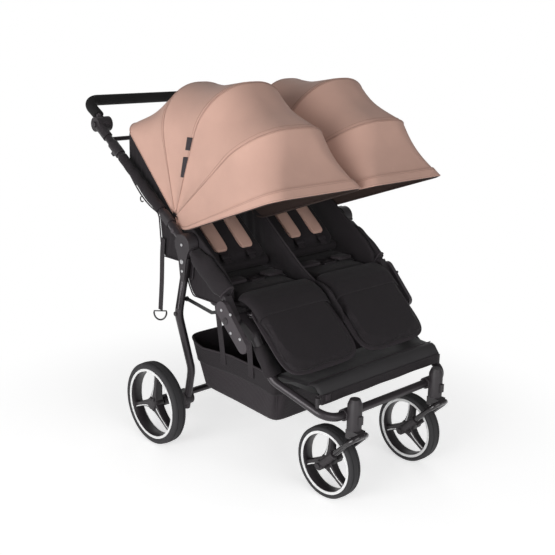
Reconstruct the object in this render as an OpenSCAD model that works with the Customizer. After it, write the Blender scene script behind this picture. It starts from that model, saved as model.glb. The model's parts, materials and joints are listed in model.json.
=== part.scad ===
// Side by side double stroller: two seats on one folding tube frame.
// X runs across the stroller, +Y to the handle and +Z up. The origin is on the floor,
// under the middle of the stroller's length and width.

/* [Wheels] */
// Radius of a rear tyre
rear_wheel_r = 137; // [125:1:142]
// Width of a rear tyre
rear_wheel_w = 46; // [38:1:48]
// Middle plane of a rear wheel, from the middle of the stroller
rear_wheel_x = 346; // [346:1:356]
// Height of a rear tyre's section
rear_tyre_h = 21; // [16:1:26]
// Radius of a front tyre
front_wheel_r = 110; // [100:1:112]
// Width of a front tyre
front_wheel_w = 44; // [36:1:44]
// Middle plane of a front wheel, from the middle of the stroller
front_wheel_x = 184; // [176:1:192]
// Height of a front tyre's section
front_tyre_h = 15; // [12:1:18]
// Radius of the rear axle
rear_axle_r = 6; // [5:0.5:7]
// Radius of a front axle
front_axle_r = 5; // [4:0.5:6]

/* [Casters] */
// Swivel axis, ahead of the rear axle
swivel_ahead = 724; // [720:1:728]
// Front axle, behind the swivel axis
caster_trail = 93; // [88:1:98]
// Lowest point of a caster housing
housing_low = 243; // [240:1:246]
// Height of a caster housing
housing_h = 92; // [84:1:100]
// Radius of a caster housing
housing_r = 21.5; // [20:0.5:23]
// Radius of the swivel stem
stem_r = 9; // [8:0.5:9.5]
// Radius of the fork's tube
fork_tube_r = 8.5; // [7:0.5:8.5]
// Fork arm's middle, from the wheel's middle plane
fork_arm_x = 33; // [33:0.5:36]
// Fork bridge, ahead of the swivel axis
fork_bridge_ahead = 28; // [24:1:32]
// Fork bridge, below the caster housing
fork_bridge_drop = 13; // [12:1:15]

/* [Front frame] */
// Radius of the front tube
front_tube_r = 12.5; // [11:0.5:12.5]
// Front tube's middle at the fold joint
front_tube_x = 312; // [311.5:0.5:312.5]
// Top end of the front tube, ahead of the fold pivot
front_top_run = 60; // [56:1:64]
// Top end of the front tube, below the fold pivot
front_top_drop = 38; // [34:1:42]
// Bend of the front tube, ahead of the rear axle
front_bend_ahead = 522; // [518:1:526]
// Height of the front tube's bend
front_bend_z = 362; // [358:1:366]
// Front crossbar, behind the swivel axis
crossbar_back = 24; // [22:1:26]
// Front crossbar, above the lowest point of a caster housing
crossbar_up = 41; // [37:1:45]
// Front corner of the tube, from the middle of the stroller
front_corner_x = 262; // [258:1:268]
// Bend radius of the front tube
front_bend_r = 60; // [50:1:70]
// Front edge of the footrest, behind the front crossbar
footrest_back = 32; // [26:1:40]
// Depth of the footrest
footrest_depth = 150; // [130:1:155]
// Underside of the footrest's front edge
footrest_z = 348; // [344:1:356]
// Half width of the footrest at its front edge
footrest_half = 268; // [255:1:272]

/* [Fold joint] */
// Fold pivot, ahead of the rear axle
fold_ahead = 380; // [378:1:382]
// Height of the fold pivot
fold_z = 516; // [514:1:518]
// Radius of the fold pin
fold_pin_r = 8; // [6:0.5:9]
// Thickness of the cover
cover_t = 14.5; // [12:0.5:14.5]
// Travel of the fold, in degrees
fold_travel = 150; // [140:1:150]
// Turn of the rear legs in a full fold, in degrees, against the floor
leg_travel = 96; // [94:1:98]

/* [Upper frame] */
// Radius of an upper tube
upper_tube_r = 13; // [12:0.5:13]
// Middle of an upper tube, from the middle of the stroller
upper_tube_x = 340.5; // [340.5:0.5:341]
// Lower end of an upper tube, behind the fold pivot
upper_low_back = 30; // [28:1:32]
// Lower end of an upper tube, above the fold pivot
upper_low_rise = 55; // [52:1:58]
// Handle joint, behind the rear axle
handle_joint_behind = 297; // [290:1:305]
// Height of the handle joint
handle_joint_z = 1016; // [1010:1:1022]
// Canopy pivot, ahead of the rear axle
canopy_ahead = 72; // [68:1:76]
// Recline axis of the seat backs, ahead of the rear axle
recline_ahead = 165; // [162:1:170]
// Height of the recline axis
recline_z = 596; // [592:1:600]
// Radius of the back frame's tube
back_tube_r = 7; // [6:0.5:7]
// Crossbar of the back frame, below the handle joint along the tube
back_bar_down = 52; // [51:1:54]

/* [Handle] */
// Handle bar, behind the rear axle
handle_behind = 412; // [405:1:420]
// Height of the handle bar
handle_z = 1082; // [1076:1:1088]
// Handle arm's middle, from the middle of the stroller
handle_arm_x = 313; // [312:0.5:313]
// Radius of the handle's tube
handle_tube_r = 11; // [10:0.5:11.5]
// Radius of the foam grip
foam_r = 18; // [16:0.5:18]
// Radius of a handle joint
handle_hub_r = 24; // [22:0.5:26]

/* [Rear legs] */
// Radius of a leg's tube
leg_r = 13; // [12:0.5:13]
// Leg pivot, ahead of the rear axle
leg_pivot_ahead = 165; // [163:1:167]
// Height of the leg pivot
leg_pivot_z = 648; // [646:1:650]
// Radius of the leg pivot's pin
leg_pin_r = 6; // [5:0.5:7]
// Knee of a leg, ahead of the rear axle
knee_ahead = 122; // [118:1:126]
// Height of the knee
knee_z = 470; // [462:1:476]
// Ankle of a leg, ahead of the rear axle
ankle_ahead = 62; // [58:1:66]
// Height of the ankle
ankle_z = 245; // [238:1:252]
// Ankle's middle, from the middle of the stroller
ankle_x = 245; // [240:1:250]
// Foot of a leg, ahead of the rear axle
foot_ahead = 32; // [30:1:34]
// Lower end of a leg
foot_z = 104; // [100:1:110]
// Bend radius of a leg
leg_bend_r = 110; // [90:1:130]
// Radius of the rear axle's tube
axle_tube_r = 11; // [9:0.5:12]

/* [Seats] */
// Height of the seat frame's tube
seat_frame_z = 520; // [519:1:522]
// Radius of the seat frame's tube
seat_tube_r = 9; // [8:0.5:9]
// Side of the seat frame, from the middle of the stroller
seat_side_x = 286; // [285:0.5:286.5]
// Front bar of the seat frame, ahead of the fold pivot
seat_front_run = 32; // [30:1:35]
// Rear bar of the seat frame, ahead of the rear axle
seat_rear_ahead = 200; // [195:1:205]
// Thickness of a seat cushion at its edge
cushion_t = 34; // [28:1:38]
// Inner edge of a seat cushion
cushion_in = 14; // [12:1:20]
// Outer edge of a seat cushion
cushion_out = 306; // [300:1:308]
// Height of a seat back above the recline axis, along the back
back_len = 440; // [420:1:450]
// Width of a seat back
back_w = 276; // [260:1:280]
// Thickness of a seat back
back_t = 34; // [28:1:38]
// Lean of the seat backs from the floor, in degrees
back_lean = 40; // [38:1:44]
// Slope of a leg rest below level, in degrees
legrest_slope = 42.7; // [38:0.1:46]
// Length of a leg rest's pad beyond its hinge
legrest_len = 226; // [210:1:230]
// Thickness of a leg rest's pad
legrest_t = 18; // [14:1:20]
// Inner edge of a leg rest's pad
legrest_in = 10; // [8:1:14]
// Outer edge of a leg rest's pad
legrest_out = 311; // [305:1:311]

/* [Basket] */
// Height of the basket's floor
basket_floor = 188; // [180:1:196]
// Front of the basket's floor, ahead of the rear axle
basket_front = 468; // [455:1:475]
// Rear of the basket's floor, ahead of the rear axle
basket_rear = 98; // [92:1:104]
// Half width of the basket's floor
basket_half = 248; // [235:1:255]
// Height of the basket's rim at the rear
basket_rim_rear = 354; // [348:1:360]
// Height of the basket's rim at the front
basket_rim_front = 348; // [342:1:356]

/* [Canopies] */
// Middle of a canopy, from the middle of the stroller
canopy_x = 186.5; // [186:0.5:187]
// Half width of the front hoop
hoop_half = 177.2; // [177:0.1:177.6]
// Step from one hoop to the next, across
hoop_step = 2.6; // [2.5:0.1:2.7]
// Radius of a hoop's wire
hoop_r = 1; // [0.8:0.1:1]
// Lean of the outer side of a hoop, from its pin to its top
hoop_lean = 48; // [47:0.5:50]
// Reach of the front hoop from the pivot
front_hoop_reach = 518; // [510:1:524]
// Reach of the middle hoop from the pivot
mid_hoop_reach = 498; // [492:1:504]
// Reach of the back hoop from the pivot
back_hoop_reach = 466; // [460:1:472]
// Reach of the rear hoop from the pivot
rear_hoop_reach = 401; // [396:1:406]
// Reach of the canopy's rear edge from the pivot
rear_edge_reach = 328; // [322:1:334]

/* [Hidden] */
$fn = 48;
// Overrun of every cut
over = 1;
// Gap between pieces that are fitted together
seat_gap = 0.15;
// Radial gap of a running fit
run_gap = 0.05;
// Gap between pieces that move past each other
pass_gap = 0.6;
// Gap between a soft piece and what it rests on
rest_gap = 0.3;
// Straight runs of a bent tube enter its bends by a lap and are thinner by a slip
lap = 1;
slip = 0.2;

// Places that follow the swivel axis and the fold pivot
front_axle_ahead = swivel_ahead - caster_trail;
crossbar_ahead = swivel_ahead - crossbar_back;
crossbar_z = housing_low + crossbar_up;
fork_bridge_z = housing_low - fork_bridge_drop;
footrest_ahead = crossbar_ahead - footrest_back;
front_top_ahead = fold_ahead + front_top_run;
front_top_z = fold_z - front_top_drop;
upper_low_ahead = fold_ahead - upper_low_back;
upper_low_z = fold_z + upper_low_rise;
seat_front_ahead = fold_ahead + seat_front_run;

// Length of the stroller ahead of and behind the rear axle
front_reach = swivel_ahead + fork_bridge_ahead + fork_tube_r;
rear_reach = handle_behind + foam_r;
rear_y = (front_reach - rear_reach) / 2;
function fy(ahead) = rear_y - ahead;

// Small sizes of the wheels
rim_ring_t = 8;
rim_set_in = 3;
hub_r = 17;
rear_hub_half = 21;
front_hub_half = 18.5;
spoke_count = 3;
spoke_w = 22;
spoke_tip_w = 13;
spoke_half = 11;
tyre_round = 12;

// Small sizes of the casters
crown_half = 17;
crown_h = 26;
crown_back = 17;
fork_bend_r = 26;
stem_play = 8;
dome_h = 16;
dome_share = 0.7;
clamp_r = 17.5;
clamp_half = 23;
fork_end_r = 12.5;
fork_end_len = 72;
fork_boss_r = 15;
fork_tip = 7;
fork_end_in = 20.5;
axle_head = 3;
lock_w = 15;
lock_h = 26;
lock_d = 6;
lock_up = 20;

// Small sizes of the front frame
socket_wall = 2;
socket_len = 46;
knuckle_boss_r = 13;
footrest_t = 26;
footrest_rear_half = 290;
footrest_slant = 26;
footrest_bar_r = 6;
stud_r = 5;
seat_lug_r = 12;
seat_corner_r = 36;
link_in = 313.5;
link_t = 5;
link_half = 5;
link_eye_r = 8;
link_bow = 18;
link_bow_share = 0.36;
cover_gap = 1;
cover_x = upper_tube_x + upper_tube_r + cover_gap + cover_t;
cover_top_r = 25;
cover_low_r = 20;
cover_rise = 30;
cover_set_back = 18;
cover_len = 127;
cover_slope = 45;

// Small sizes of the upper frame
tongue_r = 20;
bracket_wall = 5.5;
bracket_in = upper_tube_x - upper_tube_r - bracket_wall;
bracket_out = upper_tube_x + upper_tube_r + bracket_wall;
bracket_half = 34;
bracket_skin = 3;
bracket_foot_r = 17;
leg_end = 13;
socket_wall_in = 0.7;
socket_wall_out = 0.5;
socket_in = upper_tube_x - upper_tube_r - socket_wall_in;
socket_out = upper_tube_x + upper_tube_r + socket_wall_out;
sleeve_r = 16.5;
sleeve_len = 66;
sleeve_stop = 14;
hub_t = 26.8;
hub_in = socket_in - hub_t;
hub_gap = 0.4;
button_r = 9;
button_len = 8;
button_proud = 3;
collar_r = 17;
collar_len = 52;
collar_down = 150;
collar_hook = 14;
collar_hook_t = 8;
clip_r = 16.5;
clip_len = 42;
canopy_pin_r = 4;
strut_bend_r = 60;
foam_start = 46;
handle_bend_r = 46;

// Small sizes of the rear legs
foot_r = 18;
foot_in = 226;
foot_out = 321;
foot_half = 17;
foot_up = 62;
foot_down = 22;
pedal_behind = 34;
pedal_z = 128;
pedal_in = 242;
pedal_out = 300;
pedal_len = 52;
pedal_t = 7;
pedal_pin_r = 3.5;
pedal_ear_t = 8;
pedal_ear_r = 8;
pedal_eye_r = 7;

// Small sizes of the seats
cushion_front_gap = 24;
cushion_rear_gap = 12;
cushion_crown = 8;
cushion_edge = 12;
draw_in_share = 0.025;
ring_points = 36;
cushion_power = 7;
back_power = 4.5;
back_drop = 14;
legrest_rise = 18;
legrest_board_t = 3;
legrest_sleeve_wall = 3.4;
legrest_sleeve_len = 40;
sleeve_share = 0.2;
strap_w = 46;
strap_t = 9;
strap_len = 165;
strap_low = 30;
strap_apart = 104;
strap_stand = 9;
buckle_w = 52;
buckle_d = 40;
buckle_h = 16;
buckle_back = 58;
buckle_button_r = 8;
buckle_button_up = 2;
buckle_pit = 8;
basket_wall = 3;
basket_flare_front = 30;
basket_flare_rear = 42;
basket_taper_share = 0.2;
basket_flare_side = 28;
basket_power = 6;
hanger_front = 380;
hanger_rear = 240;
hanger_w = 24;
hanger_t = 2;
hanger_lap = 22;
hanger_share = 0.957;
side_wall_t = 16;
side_tuck = 2.6;
side_front = 12;
side_rise = 50;
side_rise_front = 46;
divider_t = 22;
divider_gap = 56;

// Angles of the canopy's hoops, from level ahead to the rear
front_angle = 14.6;
mid_angle = 37.2;
back_angle = 62.8;
rear_angle = 93.4;
edge_angle = 124.7;
front_corner = 44;
mid_corner = 148;
back_corner = 164;
rear_corner = 164;
edge_corner = 44;
flap_drop = 52;
cloth_t = 1.5;
cloth_gap = 0.6;
cloth_step = 3;
cloth_sag = 27;
cloth_start = 34;
eye_r = 9;
eye_t = 2;

// Unit vector
function unit(v) = v / norm(v);

// Any unit vector square to v
function square_to(v) = unit(cross(v, abs(v.x) < abs(v.z) ? [1, 0, 0] : [0, 0, 1]));

// Frame with its Z axis along w and its X axis along u, at p
function frame_at(u, w, p) = let (v = cross(w, u)) [
    [u.x, v.x, w.x, p.x],
    [u.y, v.y, w.y, p.y],
    [u.z, v.z, w.z, p.z],
    [0, 0, 0, 1]
];

// Direction along an upper tube, in the plane of Y and Z
upper_dir = unit([0, handle_joint_behind + upper_low_ahead, handle_joint_z - upper_low_z]);
upper_len = norm([handle_joint_behind + upper_low_ahead, handle_joint_z - upper_low_z]);
upper_slope = atan2(upper_dir.z, upper_dir.y);
function on_upper(along, x) = [x, fy(upper_low_ahead), upper_low_z] + upper_dir * along;

// Places that several pieces share
knuckle_half = front_tube_r + socket_wall;
canopy_along = (upper_low_ahead - canopy_ahead) / upper_dir.y;
canopy_z = on_upper(canopy_along, 0).z;
leg_along = (upper_low_ahead - leg_pivot_ahead) / upper_dir.y;

// Pin of the fold link on the rear leg, and its stud on the seat frame
leg_dir = unit([0, leg_pivot_ahead - knee_ahead, knee_z - leg_pivot_z]);
link_drop_share = 0.76;
link_pin = [0, fy(leg_pivot_ahead), leg_pivot_z] + leg_dir * (leg_pivot_z - knee_z) * link_drop_share;
function turned(p, a) = [p.x * cos(a) - p.y * sin(a), p.x * sin(a) + p.y * cos(a)];
fold_to_leg = [fold_ahead - leg_pivot_ahead, leg_pivot_z - fold_z];
leg_to_pin = [link_pin.y - fy(leg_pivot_ahead), link_pin.z - leg_pivot_z];
folded_pivot = [fy(fold_ahead), fold_z] + turned(fold_to_leg, fold_travel);
folded_pin = folded_pivot + turned(leg_to_pin, leg_travel);
// The stud lies on the seat frame, as far from the link's pin at rest as when folded
pin_mid = ([link_pin.y, link_pin.z] + folded_pin) / 2;
pin_move = folded_pin - [link_pin.y, link_pin.z];
link_stud_y = pin_mid.x - (seat_frame_z - pin_mid.y) * pin_move.y / pin_move.x;
link_ahead = rear_y - link_stud_y;

// Straight rod between two points
module rod(a, b, r) {
    w = unit(b - a);
    multmatrix(frame_at(square_to(w), w, a)) cylinder(h = norm(b - a), r = r);
}

// Rod along an upper tube's middle line
module upper_rod(from, upto, r) rod(on_upper(from, upper_tube_x), on_upper(upto, upper_tube_x), r);

// Rod across the stroller
module x_rod(x0, x1, y, z, r) translate([x0, y, z]) rotate([0, 90, 0]) cylinder(h = x1 - x0, r = r);

// Outline in the plane of Y and Z, made solid from x0 to x1
module across(x0, x1) translate([x0, 0, 0]) rotate([90, 0, 90]) linear_extrude(x1 - x0) children();

// Right-hand piece as drawn for a positive side, mirrored for a negative one
module side(s) mirror([s > 0 ? 0 : 1, 0, 0]) children();
module both_sides() for (s = [-1, 1]) side(s) children();

// Length that a bend takes from each of its two straight runs
function bend_cut(a, b, c, bend) = bend * tan(acos(unit(b - a) * unit(c - b)) / 2);

// Round tube through points, with true bends of one radius
module bent_tube(points, r, bend) {
    last = len(points) - 1;
    cuts = [for (i = [0:last]) i == 0 || i == last ? 0
        : bend_cut(points[i - 1], points[i], points[i + 1], bend)];
    for (i = [0:last - 1]) {
        u = unit(points[i + 1] - points[i]);
        from = i == 0 ? 0 : cuts[i] - lap;
        upto = i == last - 1 ? 0 : cuts[i + 1] - lap;
        rod(points[i] + u * from, points[i + 1] - u * upto, r - slip);
    }
    for (i = [1:last - 1]) {
        u = unit(points[i] - points[i - 1]);
        w = unit(points[i + 1] - points[i]);
        k = unit(cross(u, w));
        n = cross(k, u);
        start = points[i] - u * cuts[i];
        multmatrix(frame_at(-n, k, start + n * bend))
            rotate_extrude(angle = acos(u * w)) translate([bend, 0]) circle(r);
    }
}

// Flat strip between two points, as wide as each point's own round end
module strip(p, q, rp, rq) {
    d = unit(q - p);
    n = [-d.y, d.x];
    polygon([p + n * rp, p - n * rp, q - n * rq, q + n * rq]);
    translate(p) circle(rp);
    translate(q) circle(rq);
}

// Closed skin through rings of equal length, capped at both ends
module skin(rings) {
    n = len(rings[0]);
    m = len(rings);
    walls = [for (i = [0:m - 2], j = [0:n - 1]) each [
        [i * n + j, (i + 1) * n + j, (i + 1) * n + (j + 1) % n],
        [i * n + j, (i + 1) * n + (j + 1) % n, i * n + (j + 1) % n]
    ]];
    low = [for (j = [1:n - 2]) [0, j, j + 1]];
    top = [for (j = [1:n - 2]) [(m - 1) * n, (m - 1) * n + j + 1, (m - 1) * n + j]];
    polyhedron(points = [for (r = rings) each r], faces = concat(walls, low, top));
}

// Power of a number that keeps its sign
function signed_pow(v, p) = sign(v) * pow(abs(v), p);

// Ring of a soft piece: a squarish round outline whose sides draw in between the corners
function soft_ring(hx, hy, z, power, inset) = [
    for (i = [0:ring_points - 1]) let (
        t = 360 * i / ring_points,
        u = signed_pow(cos(t), 2 / power),
        v = signed_pow(sin(t), 2 / power),
        du = 1 - draw_in_share * (1 - v * v),
        dv = 1 - draw_in_share * (1 - u * u)
    ) [(hx - inset) * u * du, (hy - inset) * v * dv, z]
];

// Shares of a cushion's edge, thickness and crown at each of its rings
inset_shares = [0.5, 0, 0, 0.5, 2, 4];
height_shares = [0, 0.25, 0.7, 1, 1, 1];
crown_shares = [0, 0, 0, 0, 0.6, 1];

// Cushion with a crown, round edges and drawn-in sides, standing on z = 0
module cushion(w, d, t, crown, edge, power) {
    skin([for (k = [0:len(inset_shares) - 1]) soft_ring(w / 2, d / 2,
        t * height_shares[k] + crown * crown_shares[k], power, edge * inset_shares[k])]);
}

// Wheels

// Rim: a ring, a hub with its bore and spokes
module rim(r, ring_half, hub_half, bore_r) rotate([0, 90, 0]) {
    difference() {
        union() {
            difference() {
                cylinder(h = ring_half * 2, r = r, center = true, $fn = 96);
                cylinder(h = ring_half * 2 + over, r = r - rim_ring_t, center = true, $fn = 96);
            }
            cylinder(h = hub_half * 2, r = hub_r, center = true);
            for (i = [0:spoke_count - 1]) rotate(360 * i / spoke_count)
                linear_extrude(spoke_half * 2, center = true) polygon([
                    [0, spoke_w / 2], [0, -spoke_w / 2],
                    [r - rim_ring_t / 2, -spoke_tip_w / 2], [r - rim_ring_t / 2, spoke_tip_w / 2]
                ]);
        }
        cylinder(h = hub_half * 2 + over, r = bore_r, center = true);
    }
}

// Tyre: a round-shouldered ring that sits on the rim
module tyre(r, w, h) rotate([0, 90, 0]) rotate_extrude($fn = 96) intersection() {
    translate([r - h + seat_gap, -w / 2]) square([h - seat_gap, w]);
    union() {
        translate([r - tyre_round * 2, 0]) circle(tyre_round * 2);
        translate([r - h, -w / 2]) square([h / 2, w]);
        for (e = [-1, 1]) translate([r - h / 2, e * (w / 2 - h / 2)]) circle(h / 2);
    }
}

module rear_wheel_place(s) translate([s * rear_wheel_x, rear_y, rear_wheel_r]) children();
module front_wheel_place(s) translate([s * front_wheel_x, fy(front_axle_ahead), front_wheel_r]) children();

module rear_rim(s) color("dimgray") rear_wheel_place(s)
    rim(rear_wheel_r - rear_tyre_h, rear_wheel_w / 2 - rim_set_in, rear_hub_half, rear_axle_r + run_gap);
module rear_tyre(s) color("black") rear_wheel_place(s) tyre(rear_wheel_r, rear_wheel_w, rear_tyre_h);
module front_rim(s) color("dimgray") front_wheel_place(s)
    rim(front_wheel_r - front_tyre_h, front_hub_half, front_hub_half, front_axle_r + run_gap);
module front_tyre(s) color("black") front_wheel_place(s) tyre(front_wheel_r, front_wheel_w, front_tyre_h);

// Casters

swivel_y = fy(swivel_ahead);
axle_to_bridge = [0, -(swivel_ahead + fork_bridge_ahead - front_axle_ahead), fork_bridge_z - front_wheel_r];
crown_top = housing_low - pass_gap;

module caster_housings() color("dimgray") both_sides() translate([front_wheel_x, 0, 0]) difference() {
    union() {
        translate([0, swivel_y, housing_low]) rotate_extrude() polygon([
            [0, 0], [housing_r, 0], [housing_r, housing_h - dome_h],
            [housing_r * dome_share, housing_h], [0, housing_h]
        ]);
        x_rod(-clamp_half, clamp_half, fy(crossbar_ahead), crossbar_z, clamp_r);
    }
    translate([0, swivel_y, housing_low - over])
        cylinder(h = housing_h - dome_h + over, r = stem_r + run_gap);
    x_rod(-clamp_half - over, clamp_half + over, fy(crossbar_ahead), crossbar_z, front_tube_r + seat_gap);
}

// Fork: one bent tube over the wheel, a crown and the swivel stem
module fork(s) color("black") translate([s * front_wheel_x, 0, 0]) {
    axle = [0, fy(front_axle_ahead), front_wheel_r];
    arm = [fork_arm_x, 0, 0];
    tip = unit(axle_to_bridge) * fork_tip;
    bridge = axle + axle_to_bridge;
    bent_tube([axle - arm + tip, bridge - arm, bridge + arm, axle + arm + tip], fork_tube_r, fork_bend_r);
    translate([-crown_half, swivel_y - fork_bridge_ahead, crown_top - crown_h])
        cube([crown_half * 2, fork_bridge_ahead + crown_back, crown_h]);
    translate([0, swivel_y, crown_top - crown_h])
        cylinder(h = housing_h - dome_h - stem_play + crown_h, r = stem_r);
}

// Plastic ends of the fork's arms, with the wheel's axle
module fork_ends(s) color("dimgray") translate([s * front_wheel_x, 0, 0]) {
    axle = [0, fy(front_axle_ahead), front_wheel_r];
    d = unit(axle_to_bridge);
    both_sides() difference() {
        at = axle + [fork_arm_x, 0, 0];
        union() {
            rod(at + d * fork_tip / 2, at + d * fork_end_len, fork_end_r);
            x_rod(fork_end_in, fork_arm_x + fork_end_r - over, axle.y, axle.z, fork_boss_r);
        }
        rod(at + d * (fork_tip - seat_gap), at + axle_to_bridge, fork_tube_r + seat_gap);
    }
    x_rod(-fork_arm_x - fork_end_r - axle_head, fork_arm_x + fork_end_r + axle_head, axle.y, axle.z,
        front_axle_r);
}

module swivel_lock(s) color("gray")
    translate([s * front_wheel_x - lock_w / 2, swivel_y - housing_r - lock_d, housing_low + lock_up])
        difference() {
            cube([lock_w, lock_d + housing_r / 2, lock_h]);
            translate([lock_w / 2, lock_d + housing_r, -over])
                cylinder(h = lock_h + over * 2, r = housing_r + pass_gap / 2);
        }

// Front frame

front_half = [
    [front_tube_x, fy(front_top_ahead), front_top_z],
    [front_tube_x, fy(front_bend_ahead), front_bend_z],
    [front_corner_x, fy(crossbar_ahead), crossbar_z]
];
function mirrored(p) = [-p.x, p.y, p.z];
front_points = concat(front_half, [for (i = [len(front_half) - 1:-1:0]) mirrored(front_half[i])]);
front_dir = unit(front_half[1] - front_half[0]);

module front_tube() color("darkslategray") bent_tube(front_points, front_tube_r, front_bend_r);

// Closed loop of tube under both seats, with a stud on each side for the fold link
link_at = [fy(link_ahead), seat_frame_z];
module seat_frame() color("darkslategray") {
    y0 = fy(seat_rear_ahead);
    y1 = fy(seat_front_ahead);
    bent_tube([
        [0, y0, seat_frame_z], [seat_side_x, y0, seat_frame_z], [seat_side_x, y1, seat_frame_z],
        [-seat_side_x, y1, seat_frame_z], [-seat_side_x, y0, seat_frame_z], [0, y0, seat_frame_z]
    ], seat_tube_r, seat_corner_r);
    both_sides() {
        x_rod(seat_side_x, link_in + link_t + over, link_at.x, link_at.y, stud_r);
        x_rod(seat_side_x, front_tube_x - knuckle_half - seat_gap, fy(fold_ahead), fold_z, seat_lug_r);
    }
}

// Inner half of the fold joint, with the socket of the front tube
module front_knuckles() color("dimgray") both_sides() difference() {
    union() {
        across(front_tube_x - knuckle_half, front_tube_x + knuckle_half) {
            strip([fy(fold_ahead), fold_z], [front_half[0].y, front_half[0].z],
                knuckle_boss_r, knuckle_half);
        }
        rod(front_half[0], front_half[0] + front_dir * socket_len, knuckle_half);
    }
    rod(front_half[0], front_half[0] + front_dir * (socket_len + over), front_tube_r + seat_gap);
    x_rod(0, cover_x, fy(fold_ahead), fold_z, fold_pin_r + seat_gap);
}

// Outer cover of the fold joint, with the fold pin
module hinge_covers() color("gray") both_sides() {
    top = [fy(fold_ahead - cover_set_back), fold_z + cover_rise];
    low = top - cover_len * [cos(cover_slope), sin(cover_slope)];
    across(cover_x - cover_t, cover_x) strip(top, low, cover_top_r, cover_low_r);
    x_rod(front_tube_x - knuckle_half, cover_x - cover_t / 2, fy(fold_ahead), fold_z, fold_pin_r);
}

// Footrest: a board with a slanting front, narrower at its front edge
module footrest() color("darkolivegreen") difference() {
    y0 = fy(footrest_ahead);
    y1 = fy(footrest_ahead - footrest_depth);
    across(-footrest_rear_half, footrest_rear_half) polygon([
        [y0, footrest_z], [y1, footrest_z], [y1, footrest_z + footrest_t],
        [y0 + footrest_slant, footrest_z + footrest_t]
    ]);
    both_sides() translate([0, 0, footrest_z - over]) linear_extrude(footrest_t + over * 2) polygon([
        [footrest_half, y0 - over], [footrest_rear_half + over, y0 - over],
        [footrest_rear_half + over, y1], [footrest_rear_half, y1]
    ]);
}

// Bar under the footrest's front edge, on two posts that stand on the front tube
module footrest_bar() color("black") difference() {
    y = fy(footrest_ahead) + footrest_bar_r;
    z = footrest_z - footrest_bar_r;
    run = (footrest_ahead - footrest_bar_r - front_bend_ahead) / (crossbar_ahead - front_bend_ahead);
    foot = front_half[1] + (front_half[2] - front_half[1]) * run;
    union() {
        x_rod(-footrest_half, footrest_half, y, z, footrest_bar_r);
        both_sides() rod([foot.x, y, foot.z], [foot.x, y, z], footrest_bar_r);
    }
    both_sides() rod(front_half[1], front_half[2], front_tube_r + seat_gap);
}

// Seats

cushion_w = cushion_out - cushion_in;
cushion_mid = (cushion_out + cushion_in) / 2;
cushion_y0 = fy(seat_front_ahead - cushion_front_gap);
cushion_y1 = fy(recline_ahead + cushion_rear_gap + back_t);
cushion_z = seat_frame_z + seat_tube_r + pass_gap / 2;

module seat_cushion(s) color("black") translate([s * cushion_mid, (cushion_y0 + cushion_y1) / 2, cushion_z])
    cushion(cushion_w, cushion_y1 - cushion_y0, cushion_t, cushion_crown, cushion_edge, cushion_power);

buckle_y = cushion_y1 - buckle_back;
buckle_z = cushion_z + cushion_t + cushion_crown + pass_gap / 2;
module buckle(s) color("black") translate([s * cushion_mid, buckle_y, buckle_z]) difference() {
    translate([-buckle_w / 2, -buckle_d / 2, 0]) cube([buckle_w, buckle_d, buckle_h]);
    translate([0, 0, buckle_h - buckle_pit]) cylinder(h = buckle_pit + over, r = buckle_button_r + run_gap);
}
module buckle_button(s) color("dimgray")
    translate([s * cushion_mid, buckle_y, buckle_z + buckle_h - buckle_pit / 2])
        cylinder(h = buckle_pit / 2 + buckle_button_up, r = buckle_button_r);

// Leg rests, drawn level ahead of their hinge and turned down to their slope
module legrest_place(s) translate([s * (legrest_in + legrest_out) / 2, fy(seat_front_ahead), seat_frame_z])
    rotate([legrest_slope, 0, 0]) children();
legrest_w = legrest_out - legrest_in;
sleeve_out_r = seat_tube_r + legrest_sleeve_wall;
board_low = sleeve_out_r - legrest_board_t;

module legrest_board(s) color("dimgray") legrest_place(s) difference() {
    union() {
        for (e = [-1, 1]) translate([e * legrest_w * sleeve_share, 0, 0])
            x_rod(-legrest_sleeve_len / 2, legrest_sleeve_len / 2, 0, 0, sleeve_out_r);
        translate([-legrest_w / 2 + cushion_edge * 2, -legrest_len + cushion_edge * 2, board_low])
            cube([legrest_w - cushion_edge * 4, legrest_len - cushion_edge * 2, legrest_board_t]);
    }
    x_rod(-legrest_w, legrest_w, 0, 0, seat_tube_r - slip + run_gap);
}
module legrest_pad(s) color("black") legrest_place(s)
    translate([0, (legrest_rise - legrest_len) / 2, sleeve_out_r + pass_gap / 2])
        cushion(legrest_w, legrest_len + legrest_rise, legrest_t, cushion_crown / 2, cushion_edge,
            cushion_power);

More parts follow.
